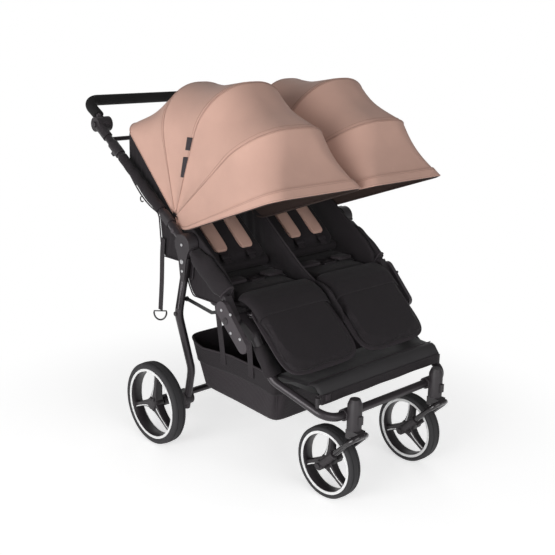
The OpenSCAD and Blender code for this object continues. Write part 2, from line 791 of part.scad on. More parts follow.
// Basket: an open bag, tucked in towards its floor
level_shares = [0, 0.12, 0.55, 1];
tuck_shares = [4, 1.3, 0.6, 0];
basket_run = basket_front + basket_flare_front - basket_rear + basket_flare_rear;
function basket_taper(share) = 1 - basket_taper_share * (1 - share);
function basket_ring(k, inset) = let (
        front = basket_front + basket_flare_front * k - inset,
        rear = basket_rear - basket_flare_rear * k + inset,
        half = basket_half + basket_flare_side * k - inset,
        ring = soft_ring(half, (front - rear) / 2, 0, basket_power, 0)
    ) [for (p = ring) let (
        y = fy((front + rear) / 2) + p.y,
        share = (fy(rear) - y) / (front - rear),
        rim = basket_rim_rear + (basket_rim_front - basket_rim_rear) * share
    ) [p.x * basket_taper(share), y, basket_floor + (rim - basket_floor) * k]];
module basket() color("black") {
    top_level = len(level_shares) - 1;
    outer = [for (i = [0:top_level]) basket_ring(level_shares[i], basket_wall * tuck_shares[i])];
    inner = [for (i = [top_level:-1:0])
        [for (p = basket_ring(level_shares[i], basket_wall * (tuck_shares[i] + 1)))
            [p.x, p.y, max(p.z, basket_floor + basket_wall)]]];
    skin(concat(outer, inner));
    both_sides() for (ahead = [hanger_front, hanger_rear]) {
        share = (ahead - basket_rear + basket_flare_rear) / basket_run;
        rim = basket_rim_rear + (basket_rim_front - basket_rim_rear) * share;
        half = (basket_half + basket_flare_side) * basket_taper(share);
        low = [half * hanger_share, fy(ahead), rim - hanger_lap];
        top = [seat_side_x - hanger_t, fy(ahead), seat_frame_z - seat_tube_r - rest_gap];
        translate(low) rotate([0, atan2(top.x - low.x, top.z - low.z), 0])
            translate([-hanger_t / 2, -hanger_w / 2, 0]) cube([hanger_t, hanger_w, norm(top - low)]);
    }
}

// Upper frame

module upper_tubes() color("darkslategray") both_sides()
    upper_rod(0, upper_len - handle_hub_r - pass_gap, upper_tube_r);

// Tongue of the fold joint, butted to the end of an upper tube
module upper_knuckles() color("dimgray") both_sides() difference() {
    end = on_upper(0, 0);
    n = [-upper_dir.z, upper_dir.y] * upper_tube_r;
    p = [end.y, end.z];
    f = [fy(fold_ahead), fold_z];
    across(upper_tube_x - upper_tube_r, upper_tube_x + upper_tube_r) {
        translate(f) circle(tongue_r);
        polygon([p + n, f + n * tongue_r / upper_tube_r, f - n * tongue_r / upper_tube_r, p - n]);
    }
    x_rod(0, cover_x, fy(fold_ahead), fold_z, fold_pin_r + run_gap);
}

// Crossbar behind the seats, centre strut with the inner canopy pins, and the recline rod
back_bar = on_upper(upper_len - back_bar_down - handle_hub_r, 0);
canopy_y = fy(canopy_ahead);
module back_frame() color("darkslategray") {
    x_rod(-upper_tube_x + upper_tube_r + seat_gap, upper_tube_x - upper_tube_r - seat_gap,
        back_bar.y, back_bar.z, back_tube_r);
    bent_tube([back_bar, [0, canopy_y, canopy_z], [0, fy(recline_ahead), recline_z]],
        back_tube_r, strut_bend_r);
    pin_end = canopy_x - hoop_w(3) + eye_t;
    x_rod(-pin_end, pin_end, canopy_y, canopy_z, canopy_pin_r);
    x_rod(-bracket_in + seat_gap, bracket_in - seat_gap, fy(recline_ahead), recline_z, back_tube_r);
}

// Leg bracket: holds the tube, the leg's pivot pin and the end of the recline rod
module leg_brackets() color("dimgray") both_sides() {
    top = on_upper(leg_along, 0);
    pin = [fy(leg_pivot_ahead), leg_pivot_z];
    difference() {
        across(bracket_in, bracket_out) {
            translate([top.y, top.z]) rotate(upper_slope)
                square([bracket_half * 2, upper_tube_r * 2 + bracket_skin * 2], center = true);
            strip([top.y, top.z], pin, bracket_half, bracket_foot_r);
            strip(pin, [fy(recline_ahead), recline_z], bracket_foot_r, back_tube_r + bracket_skin);
        }
        upper_rod(0, upper_len, upper_tube_r + seat_gap);
        translate([upper_tube_x, top.y, top.z]) rotate([upper_slope, 0, 0])
            translate([-upper_tube_r - pass_gap, -leg_pivot_z, -leg_pivot_z - upper_tube_r - bracket_skin])
                cube([upper_tube_r * 2 + pass_gap * 2, leg_pivot_z * 2, leg_pivot_z]);
    }
    x_rod(bracket_in, bracket_out, pin.x, pin.y, leg_pin_r);
}

// Fixed half of a handle joint, with the sleeve of the upper tube and the button's pocket
handle_at = [fy(-handle_joint_behind), handle_joint_z];
module handle_sockets() color("dimgray") both_sides() difference() {
    union() {
        x_rod(socket_in, socket_out, handle_at.x, handle_at.y, handle_hub_r);
        intersection() {
            upper_rod(upper_len - sleeve_len, upper_len - sleeve_stop, sleeve_r);
            across(socket_in, socket_out + sleeve_r) translate(handle_at) circle(sleeve_len * 2);
        }
    }
    upper_rod(0, upper_len - handle_hub_r, upper_tube_r + seat_gap);
    x_rod(socket_out - button_len - button_proud, socket_out + over, handle_at.x, handle_at.y,
        button_r + run_gap);
    x_rod(0, socket_out, handle_at.x, handle_at.y, leg_pin_r + run_gap);
}
module handle_button(s) color("gray") side(s)
    x_rod(socket_out - button_len + button_proud, socket_out + button_proud * 2,
        handle_at.x, handle_at.y, button_r);

// Clips that carry the outer canopy pins on the upper tubes
module canopy_clips() color("black") both_sides() {
    pin_end = canopy_x + hoop_w(3) - hoop_lean - eye_t * 2;
    difference() {
        union() {
            upper_rod(canopy_along - clip_len / 2, canopy_along + clip_len / 2, clip_r);
            x_rod(pin_end, upper_tube_x, canopy_y, canopy_z, canopy_pin_r);
        }
        upper_rod(0, upper_len, upper_tube_r + seat_gap);
        across(upper_tube_x + upper_tube_r + pass_gap, cover_x)
            translate([canopy_y, canopy_z]) circle(clip_len);
    }
}

// Collars that slide up the upper tubes to release the fold, each with a finger hook
module release_collars() color("black") both_sides() difference() {
    low = upper_len - collar_down;
    mid = on_upper(low + collar_len / 2, upper_tube_x);
    union() {
        upper_rod(low, low + collar_len, collar_r);
        translate(mid) rotate([upper_slope, 0, 0])
            translate([-collar_hook_t / 2, 0, -collar_r - collar_hook])
                cube([collar_hook_t, collar_hook, collar_hook * 2]);
    }
    upper_rod(0, upper_len, upper_tube_r + run_gap);
}

// Seat backs, drawn upright on the recline axis with their front to -Y, and leaned back
module back_place(s) translate([s * cushion_mid, fy(recline_ahead), recline_z])
    rotate([back_lean - 90, 0, 0]) children();
module backrest(s) color("black") back_place(s) difference() {
    translate([0, -back_tube_r - pass_gap, (back_len - back_drop) / 2]) rotate([90, 0, 0])
        cushion(back_w, back_len + back_drop, back_t, cushion_crown, cushion_edge, back_power);
    x_rod(-back_w, back_w, 0, 0, back_tube_r + run_gap);
}
strap_y = -back_tube_r - back_t - strap_stand - strap_t - pass_gap;
module shoulder_straps(s) color("rosybrown") back_place(s) for (e = [-1, 1])
    translate([e * strap_apart / 2 - strap_w / 2, strap_y, strap_low])
        cube([strap_w, strap_t, strap_len]);

// Cloth sides of the seats below the upper tubes, and the divider between the seats
module seat_sides() color("black") {
    floor_z = seat_frame_z + seat_tube_r + rest_gap;
    wall_in = cushion_out - side_tuck;
    p = on_upper(leg_along, 0);
    q = on_upper(side_front, 0);
    both_sides() across(wall_in, wall_in + side_wall_t) polygon([
        [p.y, p.z - upper_tube_r], [p.y, p.z + side_rise], [q.y, q.z + side_rise_front],
        [q.y, floor_z], [fy(recline_ahead + back_t), floor_z]
    ]);
    across(-divider_t / 2, divider_t / 2) polygon([
        [canopy_y - divider_gap, canopy_z - divider_gap], [cushion_y0, floor_z],
        [fy(seat_rear_ahead) + seat_tube_r, floor_z], [fy(recline_ahead + back_t), recline_z + back_tube_r]
    ]);
}

// Fold links, from the seat frame's studs to the rear legs
module fold_links() color("black") both_sides() difference() {
    across(link_in, link_in + link_t) {
        a = [fy(link_ahead), seat_frame_z];
        b = [link_pin.y, link_pin.z];
        d = unit(b - a);
        m = a + (b - a) * link_bow_share + [d.y, -d.x] * link_bow;
        strip(a, m, link_half, link_half);
        strip(m, b, link_half, link_half);
        translate(a) circle(link_eye_r);
        translate(b) circle(link_eye_r);
    }
    x_rod(0, cover_x, fy(link_ahead), seat_frame_z, stud_r + run_gap);
}

// Canopies

// Point of a canopy: across and out from the pivot, turned to an angle above level ahead
function canopy_point(x, reach, angle) = [x, canopy_y - reach * cos(angle), canopy_z + reach * sin(angle)];

// Half outline of a hoop: up the side, round the corner and to the middle
corner_steps = 10;
function hoop_side(half, reach, corner) = concat(
    [[half, cloth_start], [half, (cloth_start + reach - corner) / 2]],
    [for (i = [0:corner_steps]) let (a = 90 * i / corner_steps)
        [half - corner + corner * cos(a), reach - corner + corner * sin(a)]],
    [[0, reach]]
);
function hoop_line(half, reach, corner) = let (h = hoop_side(half, reach, corner), n = len(h)) concat(
    h, [for (i = [n - 2:-1:0]) [-h[i].x, h[i].y]]
);

// Reach between two hoops: straight from one to the other, less a sag
function gore_reach(r0, r1, k) = r0 + (r1 - r0) * k - cloth_sag * sin(180 * k);
gore_rows = 4;

// Lean of a hoop's outer side at a share of its reach
function lean_in(s, x, half, share) = s * hoop_lean * max(0, -s * x) / half * (1 - share);

// Gore of cloth from hoop 0 at the rear to hoop 1 ahead, with a flap below its front edge
module gore(s, half, r0, r1, a0, a1, c0, c1, flap) {
    function row(k, in) = let (
            reach = gore_reach(r0, r1, k) - in,
            line = hoop_line(half - in, reach, c0 + (c1 - c0) * k)
        ) [for (p = line) let (
            share = p.y / reach,
            at = canopy_point(s * canopy_x - p.x - lean_in(s, p.x, half, share), p.y, a0 + (a1 - a0) * k)
        ) at - [0, 0, flap * k * (1 - share)]];
    outer = [for (i = [0:gore_rows]) row(i / gore_rows, 0)];
    inner = [for (i = [0:gore_rows]) row(i / gore_rows, cloth_t)];
    skin([for (i = [0:len(outer[0]) - 1]) concat(
        [for (j = [0:gore_rows]) outer[j][i]],
        [for (j = [gore_rows:-1:0]) inner[j][i]]
    )]);
}

// Hoop of wire with an eye round each canopy pin
module hoop(s, half, reach, angle, corner) translate([s * canopy_x, canopy_y, canopy_z])
rotate([-angle, 0, 0]) {
    foot = -canopy_pin_r - hoop_r;
    outer = half - hoop_lean * (1 + foot / reach);
    bent_tube([[s * outer, foot, 0], [s * half, -reach, 0], [-s * half, -reach, 0], [-s * half, foot, 0]],
        hoop_r, corner);
    for (x = [s * outer, -s * half]) difference() {
        x_rod(x - eye_t / 2, x + eye_t / 2, 0, 0, eye_r);
        x_rod(x - eye_t, x + eye_t, 0, 0, canopy_pin_r + run_gap);
    }
}

// Cloth half width over hoop number k, counted from the front
function hoop_w(k) = hoop_half - k * hoop_step;
function cloth_w(k) = hoop_w(k) + hoop_r + cloth_gap + cloth_t;
cloth_out = hoop_r + cloth_gap + cloth_t;

module canopy_front(s) color("rosybrown") {
    gore(s, cloth_w(0), mid_hoop_reach + cloth_out + cloth_step, front_hoop_reach + cloth_out,
        mid_angle, front_angle, mid_corner, front_corner, flap_drop);
    hoop(s, hoop_w(0), front_hoop_reach, front_angle, front_corner);
}
module canopy_mid(s) color("rosybrown") {
    gore(s, cloth_w(1), back_hoop_reach + cloth_out + cloth_step, mid_hoop_reach + cloth_out,
        back_angle, mid_angle, back_corner, mid_corner, 0);
    hoop(s, hoop_w(1), mid_hoop_reach, mid_angle, mid_corner);
}
module canopy_back(s) color("rosybrown") {
    gore(s, cloth_w(2), rear_hoop_reach + cloth_out + cloth_step, back_hoop_reach + cloth_out,
        rear_angle, back_angle, rear_corner, back_corner, 0);
    hoop(s, hoop_w(2), back_hoop_reach, back_angle, back_corner);
}
module canopy_rear() color("rosybrown") for (s = [-1, 1]) {
    gore(s, cloth_w(3), rear_edge_reach + cloth_out, rear_hoop_reach + cloth_out,
        edge_angle, rear_angle, edge_corner, rear_corner, 0);
    hoop(s, hoop_w(3), rear_hoop_reach, rear_angle, rear_corner);
}

// Handle

handle_half = [
    [handle_arm_x, handle_at.x, handle_at.y],
    [handle_arm_x, fy(-handle_behind), handle_z]
];
handle_points = [handle_half[0], handle_half[1], mirrored(handle_half[1]), mirrored(handle_half[0])];
handle_dir = unit(handle_half[1] - handle_half[0]);

module handle_tube() color("darkslategray") difference() {
    bent_tube(handle_points, handle_tube_r, handle_bend_r);
    across(-upper_tube_x, upper_tube_x) translate(handle_at) circle(handle_hub_r + seat_gap);
}
module handle_foam() color("black") difference() {
    foam_points = [
        handle_half[0] + handle_dir * foam_start, handle_half[1],
        mirrored(handle_half[1]), mirrored(handle_half[0] + handle_dir * foam_start)
    ];
    bent_tube(foam_points, foam_r, handle_bend_r);
    bent_tube(handle_points, handle_tube_r + seat_gap, handle_bend_r);
}

// Turning half of a handle joint, with its pin
module handle_hubs() color("dimgray") both_sides() {
    x_rod(hub_in, socket_in - hub_gap, handle_at.x, handle_at.y, handle_hub_r);
    x_rod(hub_in, socket_out - button_len - button_proud - over, handle_at.x, handle_at.y, leg_pin_r);
}

// Rear legs

leg_half = [
    [upper_tube_x, fy(leg_pivot_ahead), leg_pivot_z] - [0, leg_dir.y, leg_dir.z] * leg_end,
    [upper_tube_x, fy(knee_ahead), knee_z],
    [ankle_x, fy(ankle_ahead), ankle_z],
    [ankle_x, fy(foot_ahead), foot_z]
];

// Leg tubes, with a boss that faces the end of the fold link, and the axle
module rear_legs() color("darkslategray") {
    both_sides() difference() {
        union() {
            bent_tube(leg_half, leg_r, leg_bend_r);
            x_rod(link_in + link_t + over, upper_tube_x, link_pin.y, link_pin.z, stud_r);
        }
        x_rod(0, cover_x, fy(leg_pivot_ahead), leg_pivot_z, leg_pin_r + run_gap);
    }
    x_rod(-foot_in, foot_in, rear_y, rear_wheel_r, axle_tube_r);
    x_rod(-rear_wheel_x - rear_hub_half, rear_wheel_x + rear_hub_half, rear_y, rear_wheel_r, rear_axle_r);
}

// Feet: brake housings that join the legs to the axle, with ears for the pedal on the right
module rear_feet() color("dimgray") difference() {
    low = leg_half[3];
    union() {
        both_sides() {
            x_rod(foot_in, foot_out, rear_y, rear_wheel_r, foot_r);
            across(ankle_x - foot_half, ankle_x + foot_half) strip([rear_y, rear_wheel_r],
                [low.y - (rear_wheel_r - low.z) / foot_up, rear_wheel_r], foot_r, foot_down);
        }
        for (x = [pedal_in, pedal_out]) across(x - pedal_ear_t / 2, x + pedal_ear_t / 2)
            strip([rear_y, rear_wheel_r], [rear_y + pedal_behind, pedal_z], foot_r, pedal_ear_r);
    }
    both_sides() {
        rod(leg_half[2], leg_half[3] + (leg_half[3] - leg_half[2]), leg_r + seat_gap);
        x_rod(0, foot_out + over, rear_y, rear_wheel_r, rear_axle_r + seat_gap);
        x_rod(0, foot_in + seat_gap, rear_y, rear_wheel_r, axle_tube_r + seat_gap);
    }
    x_rod(pedal_in - pedal_ear_t, pedal_out + pedal_ear_t, rear_y + pedal_behind, pedal_z,
        pedal_pin_r + run_gap);
}

module brake_pedal() color("dimgray") {
    y = rear_y + pedal_behind;
    gap = pedal_ear_t / 2 + pass_gap;
    x_rod(pedal_in - pedal_ear_t / 2, pedal_out + pedal_ear_t / 2, y, pedal_z, pedal_pin_r);
    x_rod(pedal_in + gap, pedal_out - gap, y, pedal_z, pedal_eye_r);
    translate([pedal_in + gap, y, pedal_z + pedal_eye_r - pedal_t])
        cube([pedal_out - pedal_in - gap * 2, pedal_len, pedal_t]);
}

front_tube();
seat_frame();
front_knuckles();
hinge_covers();
caster_housings();
footrest();
footrest_bar();
seat_cushion(-1);  // seat_cushion_left
seat_cushion(1);  // seat_cushion_right
buckle(-1);  // buckle_left
buckle(1);  // buckle_right
buckle_button(-1);  // buckle_button_left
buckle_button(1);  // buckle_button_right
basket();
swivel_lock(-1);  // swivel_lock_left
swivel_lock(1);  // swivel_lock_right
legrest_board(-1);  // legrest_board_left
legrest_board(1);  // legrest_board_right
legrest_pad(-1);  // legrest_pad_left
legrest_pad(1);  // legrest_pad_right
fork(-1);  // fork_left
fork(1);  // fork_right
fork_ends(-1);  // fork_ends_left
fork_ends(1);  // fork_ends_right
front_rim(-1);  // front_rim_left
front_rim(1);  // front_rim_right
front_tyre(-1);  // front_tyre_left
front_tyre(1);  // front_tyre_right
upper_tubes();
back_frame();
upper_knuckles();
leg_brackets();
handle_sockets();
canopy_clips();
seat_sides();
canopy_rear();
release_collars();
fold_links();
backrest(-1);  // backrest_left
backrest(1);  // backrest_right
shoulder_straps(-1);  // shoulder_straps_left
shoulder_straps(1);  // shoulder_straps_right
canopy_back(-1);  // canopy_back_left
canopy_back(1);  // canopy_back_right
canopy_mid(-1);  // canopy_mid_left
canopy_mid(1);  // canopy_mid_right
canopy_front(-1);  // canopy_front_left
canopy_front(1);  // canopy_front_right
handle_tube();
handle_foam();
handle_hubs();
handle_button(-1);  // handle_button_left
handle_button(1);  // handle_button_right
rear_legs();
rear_feet();
brake_pedal();
rear_rim(-1);  // rear_rim_left
rear_rim(1);  // rear_rim_right
rear_tyre(-1);  // rear_tyre_left
rear_tyre(1);  // rear_tyre_right
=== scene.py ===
"""Dresses the side by side double stroller: cloth, pads, wheels, hardware and the studio it stands in."""

import json
import math
from types import SimpleNamespace

import bmesh
import bpy
from mathutils import Matrix, Vector

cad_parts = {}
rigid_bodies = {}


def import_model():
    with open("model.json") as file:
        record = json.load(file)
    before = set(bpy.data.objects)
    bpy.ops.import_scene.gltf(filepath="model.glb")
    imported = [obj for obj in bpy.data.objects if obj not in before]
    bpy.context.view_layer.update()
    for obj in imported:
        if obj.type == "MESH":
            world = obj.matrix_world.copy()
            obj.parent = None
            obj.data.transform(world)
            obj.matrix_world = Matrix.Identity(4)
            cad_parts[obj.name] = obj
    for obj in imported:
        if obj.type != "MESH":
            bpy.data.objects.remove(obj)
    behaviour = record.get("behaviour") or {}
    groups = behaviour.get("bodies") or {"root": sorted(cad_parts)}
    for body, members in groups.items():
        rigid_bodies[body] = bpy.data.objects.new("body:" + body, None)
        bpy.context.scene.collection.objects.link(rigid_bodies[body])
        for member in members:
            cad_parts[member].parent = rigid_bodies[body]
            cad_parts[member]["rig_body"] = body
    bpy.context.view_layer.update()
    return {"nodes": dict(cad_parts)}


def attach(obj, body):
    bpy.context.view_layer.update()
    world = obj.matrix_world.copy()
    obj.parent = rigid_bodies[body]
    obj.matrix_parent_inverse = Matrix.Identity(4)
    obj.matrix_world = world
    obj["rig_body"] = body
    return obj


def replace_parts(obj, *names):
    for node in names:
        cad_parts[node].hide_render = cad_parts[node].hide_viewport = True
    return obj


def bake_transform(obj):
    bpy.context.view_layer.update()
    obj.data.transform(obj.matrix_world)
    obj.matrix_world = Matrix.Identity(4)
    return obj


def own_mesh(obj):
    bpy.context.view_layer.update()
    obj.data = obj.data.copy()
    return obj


bl_info = {
    "name": "Side by side double stroller",
    "version": (1, 0, 0),
    "blender": (4, 5, 0),
    "location": "View3D > Sidebar > Stroller",
    "description": "Builds the cloth, pads, wheels and hardware of a double stroller around its frame",
    "category": "Object",
}

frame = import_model()

# Places in metres; a pair is a distance ahead of the rear axle and a height
SIDES = (("left", -1), ("right", 1))
REAR_AXLE_Y = 0.16525
SEAT_X = 0.160
RECLINE_AXIS = (0.165, 0.596)
LEGREST_HINGE = (0.412, 0.520)
UPPER_TUBE_FOOT = (0.350, 0.571)
UPPER_TUBE_WAY = (0, 0.8239, 0.5667)
UPPER_TUBE_SLOPE = 0.6878
FRONT_TUBE_TOP = (0.440, 0.478)
FRONT_TUBE_WAY = (0, -0.5772, -0.8166)

COLOUR = {"subtype": "COLOR", "size": 3, "min": 0, "max": 1}
LENGTH = {"subtype": "DISTANCE", "unit": "LENGTH"}


class StrollerLook(bpy.types.PropertyGroup):
    """Colours and sizes that a user would change"""

    hood_colour: bpy.props.FloatVectorProperty(
        name="Hood cloth", description="Colour of the hoods and shoulder pads",
        default=(0.56, 0.348, 0.282), **COLOUR)
    lining_colour: bpy.props.FloatVectorProperty(
        name="Hood lining", description="Colour of the inside of the hoods",
        default=(0.045, 0.028, 0.024), **COLOUR)
    seat_colour: bpy.props.FloatVectorProperty(
        name="Seat cloth", description="Colour of the seats, leg rests and basket",
        default=(0.0175, 0.0141, 0.0164), **COLOUR)
    frame_colour: bpy.props.FloatVectorProperty(
        name="Frame paint", description="Colour of the frame's tubes",
        default=(0.034, 0.0285, 0.0325), **COLOUR)
    plastic_colour: bpy.props.FloatVectorProperty(
        name="Moulded joints", description="Colour of the plastic joints and housings",
        default=(0.025, 0.0208, 0.0237), **COLOUR)
    ring_colour: bpy.props.FloatVectorProperty(
        name="Rim ring", description="Colour of the rings and lines on the wheels",
        default=(0.80, 0.80, 0.80), **COLOUR)
    hood_sag: bpy.props.FloatProperty(
        name="Hood sag", description="How far the hood cloth sinks between its hoops",
        min=0, max=0.04, default=0.027, **LENGTH)
    hem_width: bpy.props.FloatProperty(
        name="Hood hem", description="Width of the hem along the front of a hood",
        min=0.01, max=0.05, default=0.030, **LENGTH)
    pad_swell: bpy.props.FloatProperty(
        name="Pad swell", description="Furthest that a pad's cover swells out",
        min=0.002, max=0.016, default=0.007, **LENGTH)
    web_width: bpy.props.FloatProperty(
        name="Webbing", description="Width of the harness webbing",
        min=0.015, max=0.04, default=0.025, **LENGTH)


def look():
    return bpy.context.scene.stroller_look


def spot(x, ahead, z):
    """Point in metres, its second number counted ahead of the rear axle"""
    return Vector((x, REAR_AXLE_Y - ahead, z))


# Finishes

# Most of a noise pattern lies in this span
NOISE_SPAN = (0.3, 0.7)
# A wave pattern of this scale repeats once in a metre
WAVE_SCALE = 0.314
FINISHES = {}


def shader(name):
    made = bpy.data.materials.new(name)
    made.use_nodes = True
    tree = made.node_tree
    return made, tree, tree.nodes["Principled BSDF"]


def set_inputs(tree, node, **inputs):
    """Sets a node's inputs, and links those that another node gives"""
    for key, value in inputs.items():
        socket = node.inputs[key.replace("_", " ")]
        if isinstance(value, bpy.types.NodeSocket):
            tree.links.new(value, socket)
        else:
            socket.default_value = value
    return node


def add_node(tree, kind, **inputs):
    return set_inputs(tree, tree.nodes.new(kind), **inputs)


def object_coords(tree):
    return tree.nodes.new("ShaderNodeTexCoord").outputs["Object"]


def noise(tree, coords, scale, detail=3.0, roughness=0.55):
    made = add_node(tree, "ShaderNodeTexNoise", Vector=coords, Scale=scale, Detail=detail,
                    Roughness=roughness)
    return made.outputs["Fac"]


def map_range(tree, factor, low, high, start=0.0, stop=1.0):
    """Factor between start and stop, carried over to low and high"""
    made = add_node(tree, "ShaderNodeMapRange", Value=factor, From_Min=start, From_Max=stop,
                    To_Min=low, To_Max=high)
    return made.outputs["Result"]


def about(tree, factor, middle, below, above):
    """Value that a noise pattern moves a little below and above its middle"""
    return map_range(tree, factor, middle - below, middle + above, *NOISE_SPAN)


def tint(tree, factor, colour, low, high):
    """Colour that runs from low to high times its own strength"""
    made = tree.nodes.new("ShaderNodeMix")
    made.data_type = "RGBA"
    strengths = {"A": low, "B": high}
    for socket in made.inputs:
        if socket.type == "RGBA" and socket.name in strengths:
            socket.default_value = (*[min(1, c * strengths[socket.name]) for c in colour], 1)
    tree.links.new(factor, made.inputs["Factor"])
    return next(s for s in made.outputs if s.type == "RGBA")


def bump(tree, height, strength, distance):
    made = add_node(tree, "ShaderNodeBump", Height=height, Strength=strength, Distance=distance)
    return made.outputs["Normal"]


def add_up(tree, *factors):
    total = factors[0]
    for one in factors[1:]:
        made = tree.nodes.new("ShaderNodeMath")
        tree.links.new(total, made.inputs[0])
        tree.links.new(one, made.inputs[1])
        total = made.outputs[0]
    return total


def threads(tree, coords, direction, period):
    made = add_node(tree, "ShaderNodeTexWave", Vector=coords, Scale=WAVE_SCALE / period, Distortion=0.5,
                    Detail=1.0)
    made.bands_direction = direction
    return made.outputs["Fac"]


def woven(name, colour, period, sheen, roughness, weave_strength):
    """Woven cloth: crossed threads, a soft cloudy tint and a little sheen"""
    made, tree, bsdf = shader(name)
    coords = object_coords(tree)
    weave = [threads(tree, coords, axis, period) for axis in "XYZ"]
    clouds = noise(tree, coords, 9.0)
    slubs = noise(tree, coords, 420.0, 2.0)
    set_inputs(tree, bsdf, Base_Color=tint(tree, clouds, colour, 0.9, 1.09),
               Roughness=about(tree, slubs, roughness, 0.06, 0.06),
               Normal=bump(tree, add_up(tree, *weave, slubs), weave_strength, 0.0004),
               Sheen_Weight=sheen, Sheen_Roughness=0.5, Specular_IOR_Level=0.25)
    return made


def moulded(name, colour, roughness, grain):
    """Moulded plastic with a fine spark-eroded grain"""
    made, tree, bsdf = shader(name)
    coords = object_coords(tree)
    fine = noise(tree, coords, 1400.0, 2.0)
    broad = noise(tree, coords, 24.0)
    set_inputs(tree, bsdf, Base_Color=tint(tree, broad, colour, 0.88, 1.12),
               Roughness=about(tree, broad, roughness, 0.07, 0.07),
               Normal=bump(tree, fine, grain, 0.0003), Specular_IOR_Level=0.45)
    return made


def painted(name, colour, roughness, metallic, coat):
    """Paint on metal tube, with a faint orange peel and scuffs"""
    made, tree, bsdf = shader(name)
    coords = object_coords(tree)
    peel = noise(tree, coords, 260.0, 2.0)
    scuffs = noise(tree, coords, 45.0, 6.0, 0.7)
    set_inputs(tree, bsdf, Base_Color=tint(tree, scuffs, colour, 0.85, 1.15),
               Roughness=about(tree, scuffs, roughness, 0.05, 0.08),
               Normal=bump(tree, peel, 0.05, 0.0004),
               Metallic=metallic, Coat_Weight=coat, Coat_Roughness=0.25)
    return made


def rubbery(name, colour, roughness, scale, strength):
    """Foam or rubber with a pitted skin"""
    made, tree, bsdf = shader(name)
    coords = object_coords(tree)
    pits = add_node(tree, "ShaderNodeTexVoronoi", Vector=coords, Scale=scale)
    dust = noise(tree, coords, 30.0, 5.0)
    set_inputs(tree, bsdf, Base_Color=tint(tree, dust, colour, 0.85, 1.25),
               Roughness=about(tree, dust, roughness, 0.05, 0.08),
               Normal=bump(tree, pits.outputs["Distance"], strength, 0.0005), Specular_IOR_Level=0.3)
    return made


def grained(name, colour, roughness):
    """Coated cloth with a leather grain"""
    made, tree, bsdf = shader(name)
    coords = object_coords(tree)
    cells = add_node(tree, "ShaderNodeTexVoronoi", Vector=coords, Scale=420.0)
    cells.feature = "DISTANCE_TO_EDGE"
    clouds = noise(tree, coords, 14.0, 4.0)
    set_inputs(tree, bsdf, Base_Color=tint(tree, clouds, colour, 0.86, 1.14),
               Roughness=about(tree, clouds, roughness, 0.06, 0.06),
               Normal=bump(tree, cells.outputs["Distance"], 0.25, 0.0006))
    return made


def metal(name, colour, roughness):
    """Bare metal, faintly brushed"""
    made, tree, bsdf = shader(name)
    brushing = noise(tree, object_coords(tree), 180.0, 4.0)
    set_inputs(tree, bsdf, Base_Color=tint(tree, brushing, colour, 0.9, 1.05),
               Roughness=about(tree, brushing, roughness, 0.08, 0.1), Metallic=1.0)
    return made


def shade(colour, times):
    return [c * times for c in colour]


def make_finishes():
    tone = look()
    hood, seat = tone.hood_colour, tone.seat_colour
    paint, plastic = tone.frame_colour, tone.plastic_colour
    kinds = {
        "hood_cloth": (woven, hood, 0.0011, 0.12, 0.74, 0.18),
        "hood_stitch": (woven, shade(hood, 0.74), 0.0016, 0.1, 0.7, 0.3),
        "hood_lining": (woven, tone.lining_colour, 0.0011, 0.05, 0.8, 0.18),
        "seat_cloth": (woven, seat, 0.0013, 0.06, 0.8, 0.3),
        "seat_welt": (woven, shade(seat, 1.9), 0.0016, 0.05, 0.66, 0.3),
        "basket_net": (woven, shade(seat, 1.5), 0.0030, 0.05, 0.7, 0.6),
        "webbing": (woven, shade(seat, 1.3), 0.0021, 0.04, 0.6, 0.5),
        "frame_paint": (painted, paint, 0.36, 0.45, 0.12),
        "fork_gloss": (painted, shade(paint, 0.6), 0.18, 0.3, 0.5),
        "joint_plastic": (moulded, plastic, 0.52, 0.2),
        "cover_plastic": (moulded, shade(plastic, 1.9), 0.55, 0.2),
        "rim_plastic": (moulded, shade(plastic, 0.9), 0.42, 0.12),
        "rim_ring": (moulded, tone.ring_colour, 0.4, 0.05),
        "tyre_foam": (rubbery, (0.034, 0.033, 0.035), 0.72, 900.0, 0.12),
        "grip_foam": (rubbery, (0.010, 0.0095, 0.010), 0.78, 1500.0, 0.3),
        "footrest_leatherette": (grained, (0.026, 0.024, 0.026), 0.5),
        "link_metal": (painted, (0.02, 0.02, 0.021), 0.4, 0.4, 0.1),
        "steel": (metal, (0.55, 0.55, 0.56), 0.32),
    }
    for name, (kind, *values) in kinds.items():
        FINISHES[name] = kind(name, *values)


# Shapes

# Edges that turn by more than this stay sharp
SHARP_ANGLE = math.radians(42)
STRAP_STEPS = 40


def to_piece(bm, name, finish, body):
    """Object at the origin from a bmesh, riding on a body when one is given"""
    finishes = [finish] if isinstance(finish, str) else finish
    mesh = bpy.data.meshes.new(name)
    bm.to_mesh(mesh)
    bm.free()
    for one in finishes:
        mesh.materials.append(FINISHES[one])
    mesh.shade_smooth()
    mesh.set_sharp_from_angle(angle=SHARP_ANGLE)
    piece = bpy.data.objects.new(name, mesh)
    bpy.context.scene.collection.objects.link(piece)
    if body:
        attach(piece, body)
    return piece


def give_modifier(piece, kind, **settings):
    made = piece.modifiers.new(kind.title(), kind)
    for key, value in settings.items():
        setattr(made, key, value)


def thicken(piece, thickness, offset=0, **settings):
    give_modifier(piece, "SOLIDIFY", thickness=thickness, offset=offset, **settings)


def ease_edges(piece, width, **settings):
    give_modifier(piece, "BEVEL", width=width, segments=2, limit_method="ANGLE", **settings)


def face_out(bm):
    bmesh.ops.recalc_face_normals(bm, faces=bm.faces[:])


def sew_up(bm, gap=1e-5):
    """Merges the points where a mesh meets itself and turns its faces outwards"""
    bmesh.ops.remove_doubles(bm, verts=bm.verts[:], dist=gap)
    face_out(bm)


